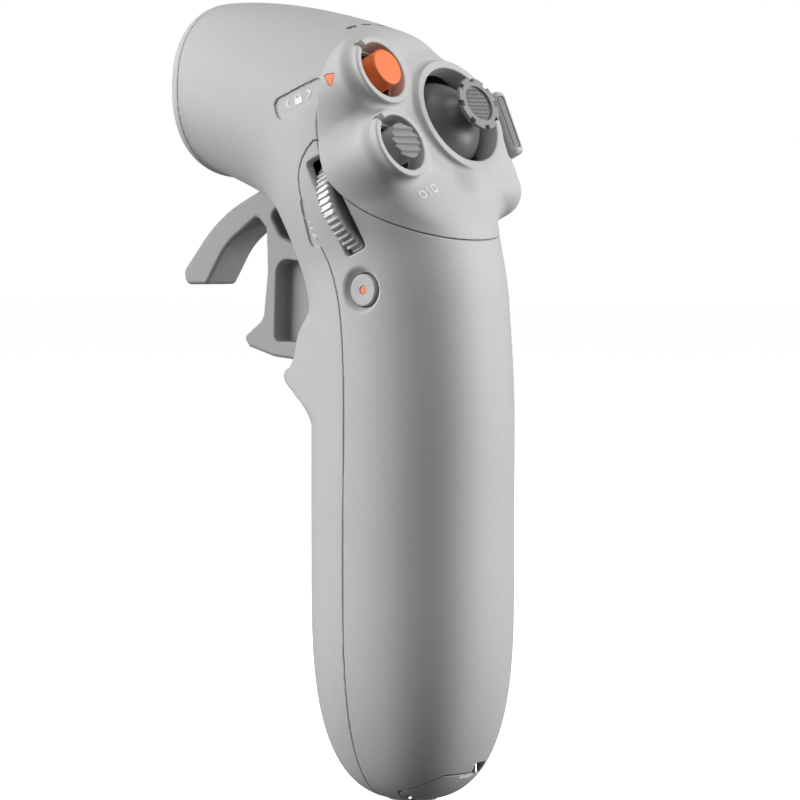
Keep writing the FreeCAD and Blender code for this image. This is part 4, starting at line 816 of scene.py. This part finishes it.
def joystick_cap(x, y, z):
    """Knob with a toothed rim and a dish of small pyramids."""
    across, t, h = panel_frame(x, y, z)
    across, t = across - STICK[0], t - STICK[1]
    reach = np.hypot(across, t)
    foot = KNOB_TOP - KNOB_THICK
    form = disc(reach, h, KNOB_RADIUS, KNOB_TOP, foot, 0.25)
    undercut = (reach - KNOB_NECK - (h - foot) * 1.25) * 0.62
    form = meet(form, undercut, 0.3)
    turn = np.arctan2(t, across)
    sector = np.mod(turn / (2 * math.pi) * KNOB_TEETH + 0.5, 1.0) - 0.5
    aside = np.abs(sector) * 2 * math.pi / KNOB_TEETH * reach
    gap = np.maximum(aside - TOOTH_GAP_HALF, TOOTH_ROOT - reach)
    gap = np.maximum(gap, KNOB_TOP - TOOTH_DEPTH - h)
    form = carve(form, gap, 0.18)
    cells = [np.abs(np.mod(c / PYRAMID_PITCH, 1.0) - 0.5) * 2 for c in (across, t)]
    grain = PYRAMID_HEIGHT * (1 - np.maximum(*cells))
    grain = np.where(reach < KNOB_DISH - 0.3, grain, 0.0)
    floor = (KNOB_TOP - KNOB_DISH_DEPTH + grain - h) * 0.72
    return carve(form, np.maximum(reach - KNOB_DISH, floor), 0.12)


def dial(x, y, z):
    """Reach, turn and height about the side dial's axis."""
    across, t, h = panel_frame(x, y, z, DIAL_AT)
    return np.hypot(across, t), np.arctan2(t, across), h


def dial_rim(x, y, z):
    """Ribbed rim, slightly crowned."""
    reach, turn, h = dial(x, y, z)
    phase = np.abs(np.mod(turn / (2 * math.pi) * DIAL_RIBS, 1.0) - 0.5) * 2
    rib = RIB_DEPTH * np.clip((phase - 0.28) / 0.25, 0, 1)
    outer = (reach - DIAL_RADIUS + rib + RIM_CROWN * np.maximum(np.abs(h) - 1.1, 0) ** 2) * 0.75
    form = meet(outer, np.abs(h) - DIAL_THICK / 2, 0.25)
    return meet(form, DIAL_RADIUS - DIAL_RIM - reach, 0.1)


def dial_hub(x, y, z):
    """Dished disc inside the rim."""
    reach, _, h = dial(x, y, z)
    dish = HUB_DISH * np.clip(DIAL_RADIUS - DIAL_RIM - 0.8 - reach, 0, 1)
    flat = np.abs(h) - DIAL_THICK / 2 + 0.1 + dish
    form = meet(reach - DIAL_RADIUS + DIAL_RIM + 0.02, flat, 0.15)
    return np.maximum(form, DIAL_BORE - reach)


def record_button(x, y, z):
    """Round key of the left flank, with its flange, plunger and dot hole."""
    around = np.hypot(y - RECORD_AT[0], z - RECORD_AT[1])
    crown = 0.03 * np.maximum(2.9 - around, 0) ** 1.5
    form = disc(around, -x + crown, RECORD_RADIUS - 0.05, -RECORD_FACE, RECORD_FOOT, 0.3)
    form = np.minimum(form, disc(around, -x, RECORD_FLANGE, 15.3, RECORD_FOOT, 0.1))
    form = np.minimum(form, disc(around, -x, RECORD_PLUNGER, 15.3, 14.3, 0.1))
    return carve(form, np.maximum(around - 0.85, x + 16.9), 0.12)


def record_dot(x, y, z):
    """Orange dot in the record key."""
    around = np.hypot(y - RECORD_AT[0], z - RECORD_AT[1])
    return disc(around, -x, DOT_RADIUS, 18.0, 17.0, 0.15)


def power_local(x, y, z):
    """Coordinates about the power key's middle."""
    across, t, h = panel_frame(x, y, z)
    return across - (POWER_INNER + POWER_OUTER) / 2, t - POWER_UP, h - POWER_BACK


def power_button(x, y, z):
    """Rounded bar with a recess for its face, and a stem on the inner side."""
    across, t, h = power_local(x, y, z)
    half = (POWER_OUTER - POWER_INNER) / 2
    form = round_box(across, t, h, (half, POWER_HALF, POWER_HALF_DEPTH), POWER_EDGE)
    recess = flat_box(across + 0.35, t, (0.95, POWER_HALF - POWER_EDGE), 0.6)
    form = carve(form, np.maximum(recess, POWER_HALF_DEPTH - 0.5 - h), 0.15)
    stem = np.maximum(np.abs(t + 6.4) - 1.3, np.abs(h + 3.3) - 1.3)
    stem = np.maximum(stem, np.abs(across + 3.2) - 1.7)
    return np.minimum(form, stem)


def power_face(x, y, z):
    """Dark plate in the power key's recess; its dark grey is partly the key's own colour and partly
    painted shade.
    """
    across, t, h = power_local(x, y, z)
    plate = flat_box(across + 0.35, t, (0.92, POWER_HALF - 1.28), 0.58)
    return meet(meet(plate, h - POWER_HALF_DEPTH + 0.28, 0.12), POWER_HALF_DEPTH - 0.6 - h, 0.05)


def trigger(x, y, z):
    """Two-way trigger: arm, finger tab and side pockets."""
    form = meet(TRIGGER(y, z), np.abs(x) - TRIGGER_HALF, 0.75)
    pocket = np.maximum(TRIGGER_POCKET(y, z), TRIGGER_WEB_HALF - np.abs(x))
    form = carve(form, pocket, 0.45)
    return np.maximum(form, TRIGGER_PIN[2] - np.hypot(y - TRIGGER_PIN[0], z - TRIGGER_PIN[1]))


# ---------------------------------------------------------------- materials


GRAIN_DEPTH, BROAD_SCALE = 0.02, 45.0


def plastic(name, colour, rough=0.5, grain=0.16, mottle=0.05, bump=0.35, specular=0.4, metallic=0.0):
    """Moulded plastic: fine grain in colour, gloss and relief, all in object space."""
    material = bpy.data.materials.new(name)
    material.use_nodes = True
    tree = material.node_tree
    shader = tree.nodes["Principled BSDF"]
    shader.inputs["Specular IOR Level"].default_value = specular
    shader.inputs["Metallic"].default_value = metallic
    place = tree.nodes.new("ShaderNodeTexCoord").outputs["Object"]
    fine = tree.nodes.new("ShaderNodeTexNoise")
    fine.inputs["Scale"].default_value = 1 / (grain * MM)
    fine.inputs["Detail"].default_value = 2.0
    broad = tree.nodes.new("ShaderNodeTexNoise")
    broad.inputs["Scale"].default_value = BROAD_SCALE
    broad.inputs["Detail"].default_value = 3.0
    for noise in (fine, broad):
        tree.links.new(place, noise.inputs["Vector"])
    ramp = tree.nodes.new("ShaderNodeMapRange")
    ramp.inputs["From Min"].default_value, ramp.inputs["From Max"].default_value = 0.3, 0.7
    ramp.inputs["To Min"].default_value, ramp.inputs["To Max"].default_value = 1 - mottle, 1 + mottle
    tree.links.new(fine.outputs["Fac"], ramp.inputs["Value"])
    drift = tree.nodes.new("ShaderNodeMapRange")
    drift.inputs["To Min"].default_value, drift.inputs["To Max"].default_value = 0.97, 1.03
    tree.links.new(broad.outputs["Fac"], drift.inputs["Value"])
    both = tree.nodes.new("ShaderNodeMath")
    both.operation = "MULTIPLY"
    tree.links.new(ramp.outputs["Result"], both.inputs[0])
    tree.links.new(drift.outputs["Result"], both.inputs[1])
    tint = tree.nodes.new("ShaderNodeVectorMath")
    tint.operation = "SCALE"
    tint.inputs[0].default_value = colour
    tree.links.new(both.outputs["Value"], tint.inputs["Scale"])
    tree.links.new(tint.outputs["Vector"], shader.inputs["Base Color"])
    gloss = tree.nodes.new("ShaderNodeMapRange")
    gloss.inputs["To Min"].default_value, gloss.inputs["To Max"].default_value = rough - 0.07, rough + 0.07
    tree.links.new(fine.outputs["Fac"], gloss.inputs["Value"])
    tree.links.new(gloss.outputs["Result"], shader.inputs["Roughness"])
    relief = tree.nodes.new("ShaderNodeBump")
    relief.inputs["Strength"].default_value = bump
    relief.inputs["Distance"].default_value = GRAIN_DEPTH * MM
    tree.links.new(fine.outputs["Fac"], relief.inputs["Height"])
    tree.links.new(relief.outputs["Normal"], shader.inputs["Normal"])
    return material


MATERIALS = {
    "light_shell": plastic("light_shell", (0.53, 0.53, 0.525), rough=0.55, mottle=0.09, bump=0.6),
    "grey_plastic": plastic("grey_plastic", (0.33, 0.33, 0.33), rough=0.5),
    "dark_plastic": plastic("dark_plastic", (0.045, 0.045, 0.045), rough=0.45),
    "orange_plastic": plastic("orange_plastic", (0.95, 0.2, 0.045), rough=0.42, mottle=0.03),
    "stick_grey": plastic("stick_grey", (0.15, 0.15, 0.15), rough=0.36, bump=0.2),
    "bright_ribs": plastic("bright_ribs", (0.6, 0.6, 0.6), rough=0.36, mottle=0.02, metallic=0.25),
    "steel": plastic("steel", (0.55, 0.55, 0.56), rough=0.3, mottle=0.03, metallic=1.0),
    "clear_window": plastic("clear_window", (0.16, 0.16, 0.16), rough=0.25, mottle=0.02),
    "white_print": plastic("white_print", (0.9, 0.9, 0.9), rough=0.5, mottle=0.02),
    "knob_grey": plastic("knob_grey", (0.27, 0.27, 0.27), rough=0.45),
    # dark grey of the power key's face: partly its own colour, partly painted shade
    "power_dark_and_painted_shade": plastic("power_dark_and_painted_shade", (0.2, 0.2, 0.2), rough=0.45),
}

# ---------------------------------------------------------------- the pieces

# name: field, low and high corners of its box, step, body, material, the node it stands for
PIECES = {
    "front_shell_skin": (front_shell, (-22.5, 2, 0), (22.5, 47, 165), 0.33,
        "housing", "light_shell", "front_shell"),
    "rear_shell_skin": (rear_shell, (-23.5, -21.5, 0), (23.5, 13.5, 137), 0.3,
        "housing", "light_shell", "rear_shell"),
    "thumb_panel_skin": (thumb_panel, (-23.5, -27, 108), (25, 9, 165), 0.24,
        "housing", "light_shell", "thumb_panel"),
    "front_cap_skin": (front_cap, (-22, 46, 126), (22, 50, 165), 0.3,
        "housing", "light_shell", "front_cap"),
    "lock_print": (label_print(LOCK_LABEL, lock_marks, -1), (-23, 7, 139), (-19, 19, 147), 0.1,
        "housing", "white_print", None),
    "dial_print": (label_print(DIAL_LABEL, dial_marks, 1), (-23.5, 7.5, 113), (-17, 12.5, 123), 0.1,
        "housing", "white_print", None),
    "mode_print": (mode_print, (-13, -16, 121), (-5, -11, 129), 0.1,
        "housing", "white_print", None),
    "pointer_inlay": (pointer_mark, (-22, 2, 144), (-16, 7, 149), 0.08,
        "housing", "orange_plastic", "pointer_mark"),
    "status_windows": (status_lights, (-10, 9, 155), (10, 12, 165), 0.12,
        "housing", "clear_window", "status_lights"),
    "lock_cup": (well(LOCK), (-18, -6, 138), (-6, 14, 154), 0.16,
        "housing", "dark_plastic", "lock_well"),
    "mode_cup": (well(MODE), (-20, -12, 123), (-7, 7, 139), 0.16,
        "housing", "dark_plastic", "mode_well"),
    "lock_button_cap": (lock_button, (-17, -8, 138), (-7, 12, 154), 0.12,
        "lock_button", "orange_plastic", "lock_button"),
    "mode_button_cap": (mode_button, (-19, -14, 124), (-8.5, 6, 139), 0.12,
        "mode_button", "grey_plastic", "mode_button"),
    "joystick_dome_skin": (joystick_dome, (-3, -12, 124), (19, 7, 152), 0.18,
        "joystick", "stick_grey", "joystick_dome"),
    "joystick_pad": (joystick_cap, (1.5, -14, 134), (14.5, -5, 149), 0.085,
        "joystick", "knob_grey", "joystick_cap"),
    "dial_rim_ribs": (dial_rim, (-23, -3, 109), (0.5, 11, 134), 0.14,
        "side_dial", "bright_ribs", "dial_rim"),
    "dial_disc": (dial_hub, (-22, -2, 110), (-1, 10, 133), 0.2,
        "side_dial", "grey_plastic", "dial_hub"),
    "record_cap": (record_button, (-19, -7, 99.5), (-13.5, 3, 109.5), 0.12,
        "record_button", "light_shell", "record_button"),
    "record_spot": (record_dot, (-18.5, -3.5, 103), (-16.5, -0.5, 106), 0.06,
        "record_button", "orange_plastic", "record_dot"),
    "power_key": (power_button, (17, -12, 128), (25, 8, 148), 0.15,
        "power_button", "light_shell", "power_button"),
    # the power key's face plate, its dark grey partly painted shade
    "power_plate": (power_face, (20, -13, 131), (24, -2, 147), 0.12,
        "power_button", "power_dark_and_painted_shade", "power_face"),
    "lanyard_post": (lanyard_post, (2.5, -14.2, 5.5), (5.5, -12, 9.3), 0.1,
        "housing", "steel", "lanyard_bar"),
    "trigger_skin": (trigger, (-5, 20, 88), (5, 61, 137), 0.24,
        "trigger", "grey_plastic", "trigger"),
    "usb_flap": (usb_cover, (-9.5, -20, 0), (9.5, -2.5, 7), 0.16,
        "usb_cover", "light_shell", "usb_cover"),
}

for name, (field, low, high, step, carrier, look, stands_for) in PIECES.items():
    piece = mould(name, field, low, high, step)
    piece.data.materials.append(MATERIALS[look])
    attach(piece, carrier)
    if stands_for:
        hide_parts(stands_for)

# ---------------------------------------------------------------- stage, light and camera

AIM = Vector((0.0023, 0.0053, 0.0816))
AZIMUTH, ELEVATION = math.radians(-50.0), math.radians(2.0)
CAMERA_DISTANCE = 0.9
SENSOR_WIDTH, FOCAL_LENGTH = 36.0, 196.95
BACK = Vector((math.sin(AZIMUTH) * math.cos(ELEVATION),
               -math.cos(AZIMUTH) * math.cos(ELEVATION), math.sin(ELEVATION)))
RIGHT = Vector((math.cos(AZIMUTH), math.sin(AZIMUTH), 0.0))

camera_data = bpy.data.cameras.new("camera")
camera_data.sensor_width = SENSOR_WIDTH
camera_data.lens = FOCAL_LENGTH
camera = bpy.data.objects.new("camera", camera_data)
bpy.context.scene.collection.objects.link(camera)
camera.location = AIM + BACK * CAMERA_DISTANCE
camera.rotation_euler = (-BACK).to_track_quat("-Z", "Y").to_euler()
bpy.context.scene.camera = camera


def softbox(name, place, target, width, height, power):
    """Rectangular area light aimed at a point."""
    data = bpy.data.lights.new(name, "AREA")
    data.shape = "RECTANGLE"
    data.size, data.size_y = width, height
    data.energy = power
    lamp = bpy.data.objects.new(name, data)
    lamp.location = place
    lamp.rotation_euler = (Vector(target) - Vector(place)).to_track_quat("-Z", "Y").to_euler()
    bpy.context.scene.collection.objects.link(lamp)


MIDDLE = Vector((0, 0.01, 0.09))
UP = Vector((0, 0, 1))
# name: place from the middle in metres along right, towards the camera and up; size; watts
LIGHTS = {
    "left_box": ((-0.9, 0.06, 0.15), (0.6, 0.8), 10.49),
    "right_box": ((0.9, -0.02, 0.15), (0.6, 0.8), 11.64),
    "top_box": ((-0.1, 0.1, 0.9), (0.8, 0.6), 3.35),
    "front_box": ((0.0, 0.75, 0.55), (0.6, 0.5), 0.9),
}
LEVEL_BACK = Vector((BACK.x, BACK.y, 0)).normalized()
for lamp_name, (reach, (width, height), power) in LIGHTS.items():
    place = MIDDLE + RIGHT * reach[0] + LEVEL_BACK * reach[1] + UP * reach[2]
    softbox(lamp_name, place, MIDDLE, width, height, power)

WORLD_LEVEL = 0.104
world = bpy.data.worlds.new("studio")
bpy.context.scene.world = world
world.use_nodes = True
tree = world.node_tree
rays = tree.nodes.new("ShaderNodeLightPath").outputs["Is Camera Ray"]
level = tree.nodes.new("ShaderNodeMapRange")
level.inputs["To Min"].default_value = WORLD_LEVEL
tree.links.new(rays, level.inputs["Value"])
tree.links.new(level.outputs["Result"], tree.nodes["Background"].inputs["Strength"])
tree.nodes["Background"].inputs["Color"].default_value = (1.0, 1.0, 1.0, 1.0)

# pale floor that glows to the backdrop's white, so that only a faint contact shadow shows
FLOOR_SIDE, FLOOR_DROP, FLOOR_GLOW = 6.0, 0.0002, 0.9
floor_mesh = bpy.data.meshes.new("floor")
corners = [(a * FLOOR_SIDE, b * FLOOR_SIDE, -FLOOR_DROP)
           for a, b in ((-1, -1), (1, -1), (1, 1), (-1, 1))]
floor_mesh.from_pydata(corners, [], [(0, 1, 2, 3)])
floor = bpy.data.objects.new("floor", floor_mesh)
bpy.context.scene.collection.objects.link(floor)
floor_paint = plastic("floor_paint", (0.9, 0.9, 0.9), rough=0.9, grain=2.0, mottle=0.01, bump=0.0,
                      specular=0.0)
shader = floor_paint.node_tree.nodes["Principled BSDF"]
shader.inputs["Emission Color"].default_value = (1.0, 1.0, 1.0, 1.0)
shader.inputs["Emission Strength"].default_value = FLOOR_GLOW
floor_mesh.materials.append(floor_paint)
floor.visible_diffuse = False
floor.visible_glossy = False

bpy.context.scene.view_settings.view_transform = "Standard"
